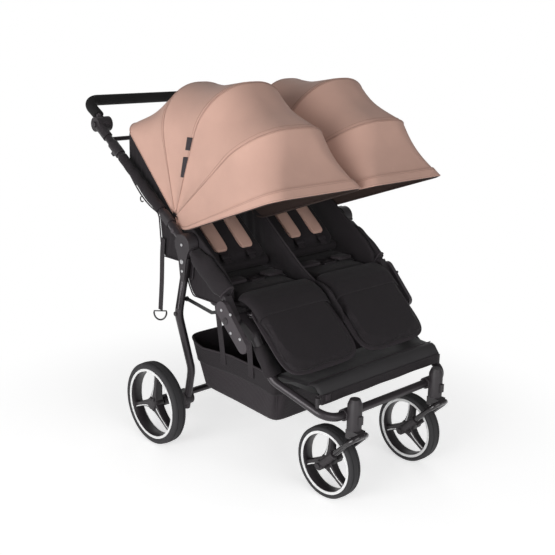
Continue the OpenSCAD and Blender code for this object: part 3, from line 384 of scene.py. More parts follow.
def bevel(bm, edges, offset, segments):
    bmesh.ops.bevel(bm, geom=edges, offset=offset, segments=segments, profile=0.5, affect="EDGES",
                    material=-1, clamp_overlap=True)


def edges_of(made):
    """Edges at the vertices that an operator made"""
    return list({e for v in made["verts"] for e in v.link_edges})


def sheet_mesh(across, along, place):
    """Grid of cloth whose corners run from 0 to 1 both ways, put in place point by point"""
    bm = bmesh.new()
    bmesh.ops.create_grid(bm, x_segments=across, y_segments=along, size=1)
    for vert in bm.verts:
        vert.co = place((vert.co.x + 1) / 2, (vert.co.y + 1) / 2)
    return bm


def closed_loft(around, along, place):
    """Closed form from a ring of points carried along, with both ends filled"""
    bm = sheet_mesh(around, along, place)
    bmesh.ops.remove_doubles(bm, verts=bm.verts[:], dist=1e-6)
    bmesh.ops.holes_fill(bm, edges=[e for e in bm.edges if e.is_boundary], sides=0)
    face_out(bm)
    return bm


def ring_through(points, u):
    """Point a share u round a closed ring of (across, up) pairs"""
    t = (u % 1) * len(points)
    k = int(t) % len(points)
    f = t - int(t)
    (x0, z0), (x1, z1) = points[k], points[(k + 1) % len(points)]
    return x0 + (x1 - x0) * f, z0 + (z1 - z0) * f


def squarish(t, power):
    """Point at the angle t on a unit circle drawn out towards a square, more so with a lower power"""
    c, s = math.cos(t), math.sin(t)
    return math.copysign(abs(c) ** power, c), math.copysign(abs(s) ** power, s)


def step_between(value, low, high):
    """Smooth rise from 0 at low to 1 at high"""
    t = max(0, min(1, (value - low) / (high - low)))
    return t * t * (3 - 2 * t)


def lathe(bm, profile, centre, steps):
    """Closed outline of (across, out) pairs spun round the X axis through centre"""
    verts = [bm.verts.new(centre + Vector((a, 0, r))) for a, r in profile]
    edges = [bm.edges.new((verts[i], verts[(i + 1) % len(verts)])) for i in range(len(verts))]
    bmesh.ops.spin(bm, geom=verts + edges, cent=centre, axis=(1, 0, 0), angle=math.tau, steps=steps,
                   use_merge=True, use_duplicate=False)
    face_out(bm)


def take_in(bm, other):
    """Adds another mesh to bm"""
    spare = bpy.data.meshes.new("spare")
    other.to_mesh(spare)
    other.free()
    bm.from_mesh(spare)
    bpy.data.meshes.remove(spare)


def block(bm, size, matrix, rounding):
    """Box with rounded edges"""
    made = bmesh.ops.create_cube(bm, size=1, matrix=matrix @ Matrix.Diagonal((*size, 1)))
    bevel(bm, edges_of(made), rounding, 2)


def disc(bm, centre, axis, radius, depth, rounding):
    """Round head with a soft rim"""
    turn = Vector((0, 0, 1)).rotation_difference(Vector(axis)).to_matrix().to_4x4()
    made = bmesh.ops.create_cone(bm, cap_ends=True, segments=28, radius1=radius, radius2=radius,
                                 depth=depth, matrix=Matrix.Translation(centre) @ turn)
    rims = [e for e in edges_of(made) if len(e.link_faces) == 2 and e.calc_face_angle(0) > 0.9]
    bevel(bm, rims, rounding, 2)


def smooth_path(points, count):
    """Points along a smooth curve through the given ones"""
    ends = [points[0] * 2 - points[1], *points, points[-1] * 2 - points[-2]]
    path = []
    for i in range(count + 1):
        t = i / count * (len(points) - 1)
        k = min(int(t), len(points) - 2)
        f = t - k
        a, b, c, d = ends[k:k + 4]
        path.append(0.5 * (2 * b + (c - a) * f + (2 * a - 5 * b + 4 * c - d) * f * f
                           + (3 * b - a - 3 * c + d) * f * f * f))
    return path


def middle_path(places, count):
    """Smooth curve through (ahead, height) places in the middle plane"""
    return smooth_path([spot(0, ahead, z) for ahead, z in places], count)


def path_length(path):
    return sum((b - a).length for a, b in zip(path, path[1:]))


def tube_mesh(path, radius, closed=False, roundness=2):
    """Round tube along a path"""
    curve = bpy.data.curves.new("path", "CURVE")
    curve.dimensions = "3D"
    curve.bevel_depth = radius
    curve.bevel_resolution = roundness
    curve.use_fill_caps = not closed
    line = curve.splines.new("POLY")
    line.points.add(len(path) - 1)
    for point, place in zip(line.points, path):
        point.co = (*place, 1)
    line.use_cyclic_u = closed
    holder = bpy.data.objects.new("path", curve)
    bpy.context.scene.collection.objects.link(holder)
    bpy.context.view_layer.update()
    mesh = bpy.data.meshes.new_from_object(holder.evaluated_get(bpy.context.evaluated_depsgraph_get()))
    bpy.data.objects.remove(holder)
    bm = bmesh.new()
    bm.from_mesh(mesh)
    bpy.data.meshes.remove(mesh)
    sew_up(bm, 1e-6)
    return bm


def piping(name, path, radius, body, finish="seat_welt", closed=False):
    """Round welt, cord or wire along a path"""
    return to_piece(tube_mesh(path, radius, closed), name, finish, body)


def strap(name, points, across, width, thickness, body, finish="webbing"):
    """Flat webbing along a path; across is its width's direction"""
    path = smooth_path(points, STRAP_STEPS)
    side = Vector(across).normalized()

    def place(u, v):
        return path[round(v * STRAP_STEPS)] + side * ((u - 0.5) * width)

    piece = to_piece(sheet_mesh(4, STRAP_STEPS, place), name, finish, body)
    thicken(piece, thickness)
    ease_edges(piece, thickness * 0.35)
    return piece


def surface_of(bm):
    return sum(f.calc_area() for f in bm.faces)


def cloth(bm, name, body, thickness, offset=0):
    """Sheet of seat cloth, given a thickness"""
    area = surface_of(bm)
    piece = to_piece(bm, name, "seat_cloth", body)
    thicken(piece, thickness, offset)
    return piece


def stuffed(piece, levels=1):
    """Padded piece with a rounded skin"""
    give_modifier(piece, "SUBSURF", levels=levels, render_levels=levels)
    return piece


# Frame

PAINTED_NODES = ("front_tube", "seat_frame", "upper_tubes", "back_frame", "rear_legs", "handle_tube")
MOULDED_NODES = (
    "front_knuckles", "upper_knuckles", "leg_brackets", "handle_sockets", "handle_hubs",
    "caster_housings", "rear_feet", "brake_pedal", "canopy_clips", "release_collars", "footrest_bar")
MOULDED_PAIRS = ("fork_ends", "buckle", "swivel_lock", "legrest_board", "handle_button", "buckle_button")


class FramePieces(bpy.types.Operator):
    """Paint the tubes and ease the edges of the moulded joints"""

    bl_idname = "stroller.frame_pieces"
    bl_label = "Frame and joints"

    def softened(self, node, finish, width):
        """Copy of a CAD node with its sharp edges eased, standing for the node"""
        bm = bmesh.new()
        bm.from_mesh(frame["nodes"][node].data)
        bmesh.ops.remove_doubles(bm, verts=bm.verts[:], dist=2e-6)
        bmesh.ops.dissolve_limit(bm, angle_limit=math.radians(0.8), verts=bm.verts[:], edges=bm.edges[:])
        piece = to_piece(bm, node + "_eased", finish, frame["nodes"][node]["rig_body"])
        if width:
            ease_edges(piece, width, angle_limit=math.radians(38), use_clamp_overlap=True)
        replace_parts(piece, node)

    def execute(self, context):
        for node in PAINTED_NODES:
            self.softened(node, "frame_paint", 0)
        for node, finish in (("fork_left", "fork_gloss"), ("fork_right", "fork_gloss"),
                             ("handle_foam", "grip_foam"), ("fold_links", "link_metal")):
            self.softened(node, finish, 0)
        pairs = [f"{node}_{side}" for node in MOULDED_PAIRS for side in dict(SIDES)]
        for node in (*MOULDED_NODES, *pairs):
            self.softened(node, "joint_plastic", 0.0012)
        self.softened("hinge_covers", "cover_plastic", 0.003)
        return {"FINISHED"}


# Wheels

WHEELS = {
    "rear": SimpleNamespace(out=0.346, ahead=0, radius=0.137, tyre_width=0.046, tyre_height=0.021,
                            rim_half=0.0195, hub_half=0.020, cap_out=0.0185),
    "front": SimpleNamespace(out=0.184, ahead=0.631, radius=0.110, tyre_width=0.044, tyre_height=0.015,
                             rim_half=0.0180, hub_half=0.0165, cap_out=0.0140),
}
SPOKES = 3
SPOKE_TURN = math.radians(14)
# Radius at which a spoke starts, and how far inside the rim's own radius it ends
SPOKE_FOOT = 0.012
SPOKE_SHORT = 0.008


def spoke_section(t):
    """Half depth as a share of the rim's, half width and lean of a spoke, a share t of the way out"""
    waist = 1 - 0.32 * math.sin(math.pi * min(1, t * 1.05))
    return 0.78 - 0.16 * t, (0.0175 - 0.009 * t) * waist, 0.010 * t * t


def spoke_places(centre):
    return [Matrix.Translation(centre) @ Matrix.Rotation(math.tau * i / SPOKES + SPOKE_TURN, 4, "X")
            for i in range(SPOKES)]


def both_ways(half, crown=()):
    """Outline whose second half mirrors its first, with the crown between them"""
    return [*[(-a, r) for a, r in half], *crown, *[(a, r) for a, r in reversed(half)]]


class Wheels(bpy.types.Operator):
    """Tyres, spoked rims with their pale rings, and hub caps"""

    bl_idname = "stroller.wheels"
    bl_label = "Wheels"

    def tyre(self, name, node, body, centre, wheel):
        """Foam tyre with a fine groove on each side of its tread"""
        outer, height, half = wheel.radius, wheel.tyre_height, wheel.tyre_width / 2
        inner = outer - height
        flank = [(0.86, inner + 0.0003), (0.97, inner + height * 0.16), (1, inner + height * 0.45),
                 (0.95, inner + height * 0.74), (0.78, outer - height * 0.08), (0.52, outer - 0.0010),
                 (0.50, outer - 0.0028), (0.42, outer - 0.0028), (0.40, outer - 0.0006)]
        bm = bmesh.new()
        lathe(bm, both_ways([(half * a, r) for a, r in flank], [(0, outer)]), centre, 128)
        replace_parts(to_piece(bm, name, "tyre_foam", body), node)

    def spoke(self, reach, half, matrix):
        """Waisted spoke that leans forward towards the rim"""
        bm = bmesh.new()
        bmesh.ops.create_cube(bm, size=2)
        uprights = [e for e in bm.edges if abs(e.verts[0].co.z - e.verts[1].co.z) > 1]
        bmesh.ops.subdivide_edges(bm, edges=uprights, cuts=7)
        for v in bm.verts:
            t = (v.co.z + 1) / 2
            deep, wide, lean = spoke_section(t)
            out = SPOKE_FOOT + t * (reach - SPOKE_FOOT)
            v.co = Vector((v.co.x * half * deep, v.co.y * wide + lean, out))
        bevel(bm, [e for e in bm.edges if e.calc_face_angle(0) > 0.6], 0.0028, 3)
        bmesh.ops.transform(bm, matrix=matrix, verts=bm.verts[:])
        return bm

    def rim(self, name, node, body, centre, radius, wheel):
        half, hub = wheel.rim_half, wheel.hub_half
        bm = bmesh.new()
        ring = [(half, radius - 0.0002), (half, radius - 0.0068), (half * 0.55, radius - 0.0105)]
        lathe(bm, both_ways(ring), centre, 128)
        lathe(bm, both_ways([(hub, 0.0062), (hub, 0.019), (hub * 0.5, 0.024)]), centre, 64)
        for place in spoke_places(centre):
            take_in(bm, self.spoke(radius - SPOKE_SHORT, half, place))
        face_out(bm)
        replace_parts(to_piece(bm, name, "rim_plastic", body), node)

    def rings(self, name, body, centre, radius, rim_half):
        """Pale ring at the rim and a pale line down each spoke, on both faces"""
        bm = bmesh.new()
        low, high = rim_half + 0.0011, rim_half + 0.0019
        for side in (-1, 1):
            lathe(bm, [(side * low, radius - 0.0072), (side * high, radius - 0.0066),
                       (side * high, radius + 0.0008), (side * low, radius + 0.0014)], centre, 128)
            for turn in spoke_places(centre):
                def place(u, v, turn=turn, side=side):
                    t = 0.12 + 0.82 * v
                    deep, wide, lean = spoke_section(t)
                    out = SPOKE_FOOT + t * (radius - SPOKE_SHORT - SPOKE_FOOT)
                    x = side * (rim_half * deep + 0.0007)
                    return turn @ Vector((x, wide * (0.30 + 0.36 * u) + lean, out))

                take_in(bm, sheet_mesh(2, 18, place))
        thicken(to_piece(bm, name, "rim_ring", body), 0.0003)

    def hub_caps(self, name, body, centre, cap_out):
        """Rounded three-cornered cap on each face"""
        bm = bmesh.new()
        for side in (-1, 1):
            place = (Matrix.Translation(centre + Vector((side * (cap_out + 0.0005), 0, 0)))
                     @ Matrix.Rotation(side * math.pi / 2, 4, "Y"))
            made = bmesh.ops.create_cone(bm, cap_ends=True, segments=3, radius1=0.030, radius2=0.026,
                                         depth=0.006, matrix=place)
            bevel(bm, edges_of(made), 0.006, 4)
        to_piece(bm, name, "joint_plastic", body)

    def execute(self, context):
        for side, sign in SIDES:
            for end, wheel in WHEELS.items():
                centre = spot(sign * wheel.out, wheel.ahead, wheel.radius)
                rim_radius = wheel.radius - wheel.tyre_height
                body = f"{end}_wheel_{side}"
                self.tyre(f"{end}_{side}_tyre", f"{end}_tyre_{side}", body, centre, wheel)
                self.rim(f"{end}_{side}_rim", f"{end}_rim_{side}", body, centre, rim_radius, wheel)
                self.rings(f"{end}_{side}_rings", body, centre, rim_radius, wheel.rim_half)
                self.hub_caps(f"{end}_{side}_hub_caps", body, centre, wheel.cap_out)
        return {"FINISHED"}


# Hoods

HOOD_X = 0.1865
HOOD_PIVOT_PLACE = (0.072, 0.7622)
HOOD_PIVOT = spot(0, *HOOD_PIVOT_PLACE)
# Distance from the pivot at which the cloth starts
HOOD_START = 0.014
# How far a hood's outer side leans inwards at its foot
HOOD_LEAN = 0.048
# How far the front gore's side flaps hang down, and the length over which they round off
FLAP_DROP = 0.052
FLAP_LOBE = 0.080
# Angle above level ahead, reach, half width and corner radius of each hoop
HOOPS = {
    "edge": (124.7, 0.3311, 0.1725, 0.044), "rear": (93.4, 0.4041, 0.1725, 0.164),
    "back": (62.8, 0.4691, 0.1751, 0.164), "mid": (37.2, 0.5011, 0.1777, 0.148),
    "front": (14.6, 0.5211, 0.1803, 0.044),
}


def hoop_girth(half, reach, corner):
    """Lengths of a hoop's straight side, of one corner and of the whole hoop"""
    side = reach - corner - HOOD_START
    arc = corner * math.pi / 2
    return side, arc, 2 * (side + arc + half - corner)


def hoop_point(half, reach, corner, u):
    """Point (across, out) a share u of the way round a hoop"""
    side, arc, total = hoop_girth(half, reach, corner)
    d = u * total
    sign = 1
    if d > total / 2:
        d, sign = total - d, -1
    if d < side:
        return sign * half, HOOD_START + d
    if d < side + arc:
        a = (d - side) / corner
        return sign * (half - corner + corner * math.cos(a)), reach - corner + corner * math.sin(a)
    return sign * (half - corner - (d - side - arc)), reach


def hood_place(centre_x, hoop_a, hoop_b, sag, lift=0.0):
    """Function that puts a cloth point (round, along) between two hoops, lifted off them by a little"""
    (a0, r0, w0, c0), (a1, r1, w1, c1) = HOOPS[hoop_a], HOOPS[hoop_b]
    sign = math.copysign(1, centre_x)
    drop = FLAP_DROP if hoop_b == "front" else 0

    def place(u, v):
        dip = math.sin(math.pi * v) if 0 < v < 1 else 0
        reach = r0 + (r1 - r0) * v - sag * dip + lift
        half = w0 + (w1 - w0) * v - sag * 0.16 * dip + lift
        x, out = hoop_point(half, reach, c0 + (c1 - c0) * v, u)
        share = out / reach
        lobe = min(1, (out - HOOD_START) / FLAP_LOBE)
        fall = drop * v * (1 - share) * math.sqrt(max(0, 1 - (1 - lobe) ** 2))
        lean = sign * HOOD_LEAN * max(0, -sign * x) / half * (1 - share)
        out += 0.0010 * dip * math.sin(u * 41 + v * 5) * (1 - abs(2 * u - 1)) * share
        angle = math.radians(a0 + (a1 - a0) * v)
        return HOOD_PIVOT + Vector((centre_x - x - lean, -out * math.cos(angle),
                                    out * math.sin(angle) - fall))

    return place


def round_hood(place, v, margin=0.0, steps=150):
    """Path round a hood at a share v of the way along a gore"""
    return [place(margin + (1 - 2 * margin) * i / steps, v) for i in range(steps + 1)]


def fold_away(piece):
    """Gives a hood piece a mesh of its own"""
    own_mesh(piece)


class Hoods(bpy.types.Operator):
    """Cloth gores, seams, front hem and wire hoops of both hoods"""

    bl_idname = "stroller.hoods"
    bl_label = "Hoods"

    def execute(self, context):
        sag = look().hood_sag
        front_sag = sag * 0.9
        for side, sign in SIDES:
            x = sign * HOOD_X
            gores = [
                ("rear", "edge", "rear", "upper_frame", sag * 0.95, "canopy_rear"),
                ("back", "rear", "back", f"hood_back_{side}", sag, f"canopy_back_{side}"),
                ("mid", "back", "mid", f"hood_mid_{side}", sag, f"canopy_mid_{side}"),
                ("front", "mid", "front", f"hood_front_{side}", front_sag, f"canopy_front_{side}"),
            ]
            for part, hoop_a, hoop_b, body, dip, node in gores:
                self.gore(f"hood_{part}_{side}", x, hoop_a, hoop_b, body, dip, node)
            self.hem(f"hood_hem_{side}", x, f"hood_front_{side}", look().hem_width, front_sag)
            self.tabs(f"hood_tabs_{side}", x, sign, f"hood_back_{side}", sag)
            self.line(f"hood_rear_edge_{side}", round_hood(hood_place(x, "edge", "rear", 0), 0), 0.0017,
                      "upper_frame")
        return {"FINISHED"}

    def line(self, name, path, radius, body, finish="hood_stitch"):
        fold_away(piping(name, path, radius, body, finish))

    def gore(self, name, x, hoop_a, hoop_b, body, dip, node):
        """Cloth between two hoops, with its lining, seam and hoop"""
        place = hood_place(x, hoop_a, hoop_b, dip)
        bm = sheet_mesh(128, 28, place)
        face_out(bm)
        top = min(bm.faces, key=lambda f: (f.calc_center_median() - place(0.5, 0.5)).length)
        if top.normal.dot(top.calc_center_median() - HOOD_PIVOT - Vector((x, 0, 0))) < 0:
            bmesh.ops.reverse_faces(bm, faces=bm.faces[:])
        area = surface_of(bm)
        piece = to_piece(bm, name, ("hood_cloth", "hood_lining"), body)
        thicken(piece, 0.0014, -1, material_offset=1, material_offset_rim=0)
        crown = path_length([place(0.5, i / 20) for i in range(21)])
        girth = path_length(round_hood(place, 1, steps=80))
        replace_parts(piece, node)
        fold_away(piece)
        if hoop_b != "front":
            self.seam(name, x, hoop_a, hoop_b, body, dip)
        self.bow(name, x, hoop_a, hoop_b, body)

    def seam(self, name, x, hoop_a, hoop_b, body, dip):
        """Sewn ridge over the hoop, with a row of stitches behind it"""
        place = hood_place(x, hoop_a, hoop_b, dip, 0.0004)
        for part, v, radius in (("ridge", 1.0, 0.0012), ("stitch", 0.945, 0.00055)):
            self.line(f"{name}_{part}", round_hood(place, v, 0.012), radius, body)

    def bow(self, name, x, hoop_a, hoop_b, body):
        """Wire hoop under the cloth, drawn in towards the pivot at both ends"""
        path = round_hood(hood_place(x, hoop_a, hoop_b, 0, -0.0048), 1, steps=130)
        first, last = [Vector((end.x, HOOD_PIVOT.y, HOOD_PIVOT.z)).lerp(end, 0.25)
                       for end in (path[0], path[-1])]
        self.line(name + "_bow", [first, *path, last], 0.0028, body, "hood_lining")

    def hem(self, name, x, body, width, sag):
        """Hem round the front edge, with three rows of stitches"""
        place = hood_place(x, "mid", "front", sag, 0.0011)
        a0, a1, reach = HOOPS["mid"][0], HOOPS["front"][0], HOOPS["front"][1]
        share = width / (math.radians(a0 - a1) * reach)
        bm = sheet_mesh(140, 6, lambda u, v: place(u, 1 - share * (1 - v)))
        face_out(bm)
        piece = to_piece(bm, name, "hood_cloth", body)
        thicken(piece, 0.0034)
        ease_edges(piece, 0.001)
        fold_away(piece)
        raised = hood_place(x, "mid", "front", sag, 0.0030)
        for k, v in enumerate((0.06, 0.20, 0.90)):
            self.line(f"{name}_stitch_{k}", round_hood(raised, 1 - share * (1 - v), 0.01), 0.0006, body)

    def tabs(self, name, x, sign, body, sag):
        """Two small plain tabs sewn along the outer side's second ridge"""
        place = hood_place(x, "rear", "back", sag, 0.0014)
        reach, half, corner = HOOPS["back"][1:]
        total = hoop_girth(half, reach, corner)[2]
        for k, (low, high, wide) in enumerate(((0.150, 0.222, 0.20), (0.246, 0.290, 0.16))):
            def spot_on(a, b, low=low, high=high, wide=wide):
                u = (low + (high - low) * a - HOOD_START) / total
                return place(u if sign < 0 else 1 - u, 0.985 - wide * (1 - b))

            bm = sheet_mesh(12, 4, spot_on)
            face_out(bm)
            piece = to_piece(bm, f"{name}_{k}", "seat_welt", body)
            thicken(piece, 0.0014)
            fold_away(piece)


# Pads

LEGREST_TURN = Matrix.Rotation(math.radians(42.7), 4, "X")
BACK_TURN = Matrix.Rotation(math.radians(40 - 90), 4, "X")
QUARTER_TURN = Matrix.Rotation(math.pi / 2, 4, "X")


def back_place(x):
    """Place of a seat back: on its rod, with Z up the back and Y out behind it"""
    return Matrix.Translation(spot(x, *RECLINE_AXIS)) @ BACK_TURN


def pad_mesh(width, depth, thickness, power, crown, matrix, cuts=26, end_power=None):
    """Crowned pad with a squarish outline, flat underneath; end_power shapes its front or lower end"""
    bm = bmesh.new()
    bmesh.ops.create_cube(bm, size=2)
    bmesh.ops.subdivide_edges(bm, edges=bm.edges[:], cuts=cuts, use_grid_fill=True)
    for vert in bm.verts:
        u, v, w = vert.co
        n = end_power if end_power and v < 0 else power
        rim = max(abs(u), abs(v), 1e-6)
        squash = rim / (abs(u) ** n + abs(v) ** n) ** (1 / n)
        u, v = u * squash, v * squash
        r = min(1, (abs(u) ** n + abs(v) ** n) ** (1 / n))
        tuck = 1 - 0.02 * (1 - (v * v if abs(u) > abs(v) else u * u)) * r
        edge = 1 - 0.035 * (w * w)
        lift = crown * (1 - r * r) if w > 0 else 0
        vert.co = matrix @ Vector((u * tuck * edge * width / 2, v * tuck * edge * depth / 2,
                                   w * thickness / 2 + lift * (w + 1) / 2))
    return bm


def blow_out(cover, skin, cap):
    """Moves a cover's skin as far as cloth under pressure goes, held to a cap"""
    start = [v.co.copy() for v in skin.vertices]
    sim = cover.modifiers.new("Cloth", "CLOTH")
    sim.settings.use_pressure = True
    sim.settings.uniform_pressure_force = 4.0
    sim.settings.quality = 4
    sim.settings.tension_stiffness = 20
    sim.settings.compression_stiffness = 20
    sim.settings.bending_stiffness = 0.4
    sim.settings.effector_weights.gravity = 0
    sim.collision_settings.use_collision = False
    scene = bpy.context.scene
    for step in range(1, 17):
        scene.frame_set(step)
    blown = cover.evaluated_get(bpy.context.evaluated_depsgraph_get()).data
    for vert, was, now in zip(skin.vertices, start, blown.vertices):
        move = now.co - was
        vert.co = was + (move if move.length <= cap else move * (cap / move.length))
    cover.modifiers.clear()
    scene.frame_set(1)


def swell(bm, cap, voxel):
    """Cover of a pad in an even mesh, blown out by cloth simulation"""
    mesh = bpy.data.meshes.new("cover")
    bm.to_mesh(mesh)
    bm.free()
    cover = bpy.data.objects.new("cover", mesh)
    bpy.context.scene.collection.objects.link(cover)
    give_modifier(cover, "REMESH", mode="VOXEL", voxel_size=voxel)
    bpy.context.view_layer.update()
    skin = bpy.data.meshes.new_from_object(cover.evaluated_get(bpy.context.evaluated_depsgraph_get()))
    cover.modifiers.clear()
    cover.data = skin
    bpy.data.meshes.remove(mesh)
    blow_out(cover, skin, cap)
    done = bmesh.new()
    done.from_mesh(skin)
    bpy.data.objects.remove(cover)
    bpy.data.meshes.remove(skin)
    return done


def mirrored(bm):
    """Other side's copy of a mesh"""
    copy = bm.copy()
    bmesh.ops.scale(copy, vec=(-1, 1, 1), verts=copy.verts[:])
    bmesh.ops.reverse_faces(copy, faces=copy.faces[:])
    return copy


def groove(bm, place, origin, direction, depth, reach=0.006):
    """Sewn channel: cloth near a line on a pad's top is drawn in"""
    origin = place @ Vector(origin)
    turn = place.to_3x3()
    direction, normal = (turn @ Vector(direction)).normalized(), (turn @ Vector((0, 0, 1))).normalized()
    across = direction.cross(normal)
    for vert in bm.verts:
        d = abs((vert.co - origin).dot(across))
        if d < reach * 3 and (vert.co - origin).dot(normal) > -0.012:
            vert.co -= normal * depth * math.exp(-(d / reach) ** 2)


def pad_places():
    """Pads of the right-hand seat"""
    legrest = (Matrix.Translation(spot(SEAT_X + 0.0005, *LEGREST_HINGE)) @ LEGREST_TURN
               @ Matrix.Translation((0, -0.104, 0.0238)))
    seat = Matrix.Translation(spot(SEAT_X, 0.2995, 0.5485))
    back = back_place(SEAT_X) @ Matrix.Translation((0, -0.0265, 0.213)) @ QUARTER_TURN
    return {
        "legrest_pad": SimpleNamespace(width=0.288, depth=0.230, thickness=0.016, power=11, end_power=4.5,
                                       crown=0.004, place=legrest, body="legrest", voxel=0.0042),
        "seat_cushion": SimpleNamespace(width=0.280, depth=0.168, thickness=0.033, power=7, end_power=None,
                                        crown=0.008, place=seat, body="front_frame", voxel=0.0048),
        "backrest": SimpleNamespace(width=0.262, depth=0.440, thickness=0.032, power=4.5, end_power=10,
                                    crown=0.008, place=back, body="seat_back", voxel=0.0058),
    }


class Pads(bpy.types.Operator):
    """Seat cushions, seat backs and leg rests, swollen by simulation, and the cloth that joins them"""

    bl_idname = "stroller.pads"
    bl_label = "Seat pads"

    def execute(self, context):
        pads = pad_places()
        for node, pad in pads.items():
            self.cover(node, pad)
        for side, sign in SIDES:
            self.flange(side, sign, pads["legrest_pad"])
            self.apron(side, sign)
            self.tuck(side, sign)
            self.valance(side, sign)
            self.rod_hem(side, sign)
        self.fin()
        return {"FINISHED"}

    def cover(self, node, pad):
        """Swollen covers of one pad, for both seats"""
        shape = pad_mesh(pad.width, pad.depth, pad.thickness, pad.power, pad.crown, pad.place,
                         end_power=pad.end_power)
        skin = swell(shape, look().pad_swell, pad.voxel)
        top = pad.thickness / 2
        if node == "backrest":
            for x in (-0.062, 0.062):
                groove(skin, pad.place, (x, 0, top), (0, 1, 0), 0.004)
        if node == "seat_cushion":
            groove(skin, pad.place, (0, -0.045, top), (1, 0, 0), 0.003)
        for side, sign in SIDES:
            body = pad.body if pad.body == "front_frame" else f"{pad.body}_{side}"
            bm = skin.copy() if sign > 0 else mirrored(skin)
            piece = stuffed(to_piece(bm, f"{node}_{side}_cover", "seat_cloth", body))
            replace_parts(piece, f"{node}_{side}")
        skin.free()

    def flange(self, side, sign, pad):
        """Sewn edge that stands out round a leg rest's pad"""
        def edge(u, v):
            t = math.tau * u
            x, y = squarish(t, 2 / (pad.end_power if math.sin(t) < 0 else pad.power))
            x *= pad.width / 2 - 0.012 + 0.019 * v
            y *= pad.depth / 2 - 0.012 + 0.017 * v
            if x < 0:
                x -= 0.0060 * v * (1 - step_between(y, 0.022, 0.042))
            point = pad.place @ Vector((x, y, -0.0045))
            return Vector((sign * point.x, point.y, point.z))

        bm = sheet_mesh(160, 3, edge)
        sew_up(bm)
        piece = to_piece(bm, f"legrest_edge_{side}", "seat_welt", f"legrest_{side}")
        thicken(piece, 0.0036)
        ease_edges(piece, 0.001)

    def tuck(self, side, sign):
        """Cloth that runs from the rear of a seat cushion to below the seat back's rod"""
        inner, wide, steps = 0.0225, 0.276, 28
        path = middle_path(((0.270, 0.5680), (0.248, 0.5730), (0.220, 0.5785), (0.196, 0.5805),
                            (0.176, 0.5800), (0.158, 0.5806), (0.1465, 0.5890), (0.1435, 0.6000)), steps)

        def place(u, v):
            return path[round(v * steps)] + Vector((sign * (inner + wide * u), 0, 0))

        cloth(sheet_mesh(26, steps, place), f"seat_tuck_{side}", "front_frame", 0.002)

    def valance(self, side, sign):
        """Cloth that hangs from a seat cushion's front and turns its outer corner, behind the leg rest"""
        inner, corner, length, drop = 0.0185, 0.2755, 0.36, 0.036

        def place(u, v):
            run = length * u
            ahead = 0.381 + 0.0010 * math.sin(u * 31) * v - max(0, run - corner)
            return spot(sign * (inner + min(run, corner)), ahead, 0.541 - drop * v)

        cloth(sheet_mesh(76, 6, place), f"seat_valance_{side}", "front_frame", 0.0016)

    def rod_hem(self, side, sign):
        """Hem of a seat back, sewn round the rod that it turns on"""
        place, inner, wide = back_place(0), 0.023, 0.274
        path = [place @ Vector((sign * (inner + wide * i / 40), -0.008, 0.003)) for i in range(41)]
        bm = tube_mesh(path, 0.017, roundness=5)
        to_piece(bm, f"back_hem_{side}", "seat_cloth", f"seat_back_{side}")

    def fin(self):
        """Narrow cloth between the two leg rests' hinges"""
        steps = 16
        top = middle_path(((0.368, 0.573), (0.400, 0.571), (0.426, 0.564), (0.446, 0.553), (0.466, 0.534),
                           (0.502, 0.499)), steps)
        low = middle_path(((0.368, 0.532), (0.400, 0.512), (0.428, 0.500), (0.446, 0.490), (0.466, 0.476),
                           (0.502, 0.455)), steps)
        ring = [(-0.7, 0), (-1, 0.2), (-1, 0.8), (-0.6, 1), (0.6, 1), (1, 0.8), (1, 0.2), (0.7, 0)]

        def place(u, v):
            x, up = ring_through(ring, u)
            point = low[round(v * steps)].lerp(top[round(v * steps)], up)
            half = 0.0062 - 0.0040 * step_between(REAR_AXLE_Y - point.y, 0.440, 0.465)
            return point + Vector((half * x, 0, 0))

        stuffed(to_piece(closed_loft(8, steps, place), "seat_fin", "seat_cloth", "front_frame"))

    def apron(self, side, sign):
        """Cloth that runs from the front of a seat cushion on to its leg rest"""
        inner, wide, steps = 0.0145, 0.292, 24
        path = middle_path(((0.364, 0.5795), (0.386, 0.5775), (0.406, 0.5700), (0.428, 0.5590),
                            (0.456, 0.5325)), steps)

        def place(u, v):
            edge = abs(2 * u - 1) ** 14
            return path[round(v * steps)] + Vector((sign * (inner + wide * u), 0, -0.016 * edge))

        piece = cloth(sheet_mesh(30, steps, place), f"seat_apron_{side}", None, 0.003,
                      offset=-sign)
        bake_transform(piece)


# Seat sides and sleeves

# Ends of a wing and of the sleeve over its front part
WING_REAR, WING_FRONT = -0.163, 0.345
SLEEVE_REAR, SLEEVE_FRONT = 0.2045, 0.343
# Middle of a wing's thickness, and heights of its lower edge beside the seat and behind the leg bracket
WING_X = 0.3117
WING_LOW = 0.5335
WING_STEP = 0.630


def tube_height(ahead):
    """Height of the upper tube's axis"""
    return UPPER_TUBE_FOOT[1] + (UPPER_TUBE_FOOT[0] - ahead) * UPPER_TUBE_SLOPE


def crumple(piece):
    """Gives a piece of cloth between the frames a mesh of its own"""
    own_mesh(piece)


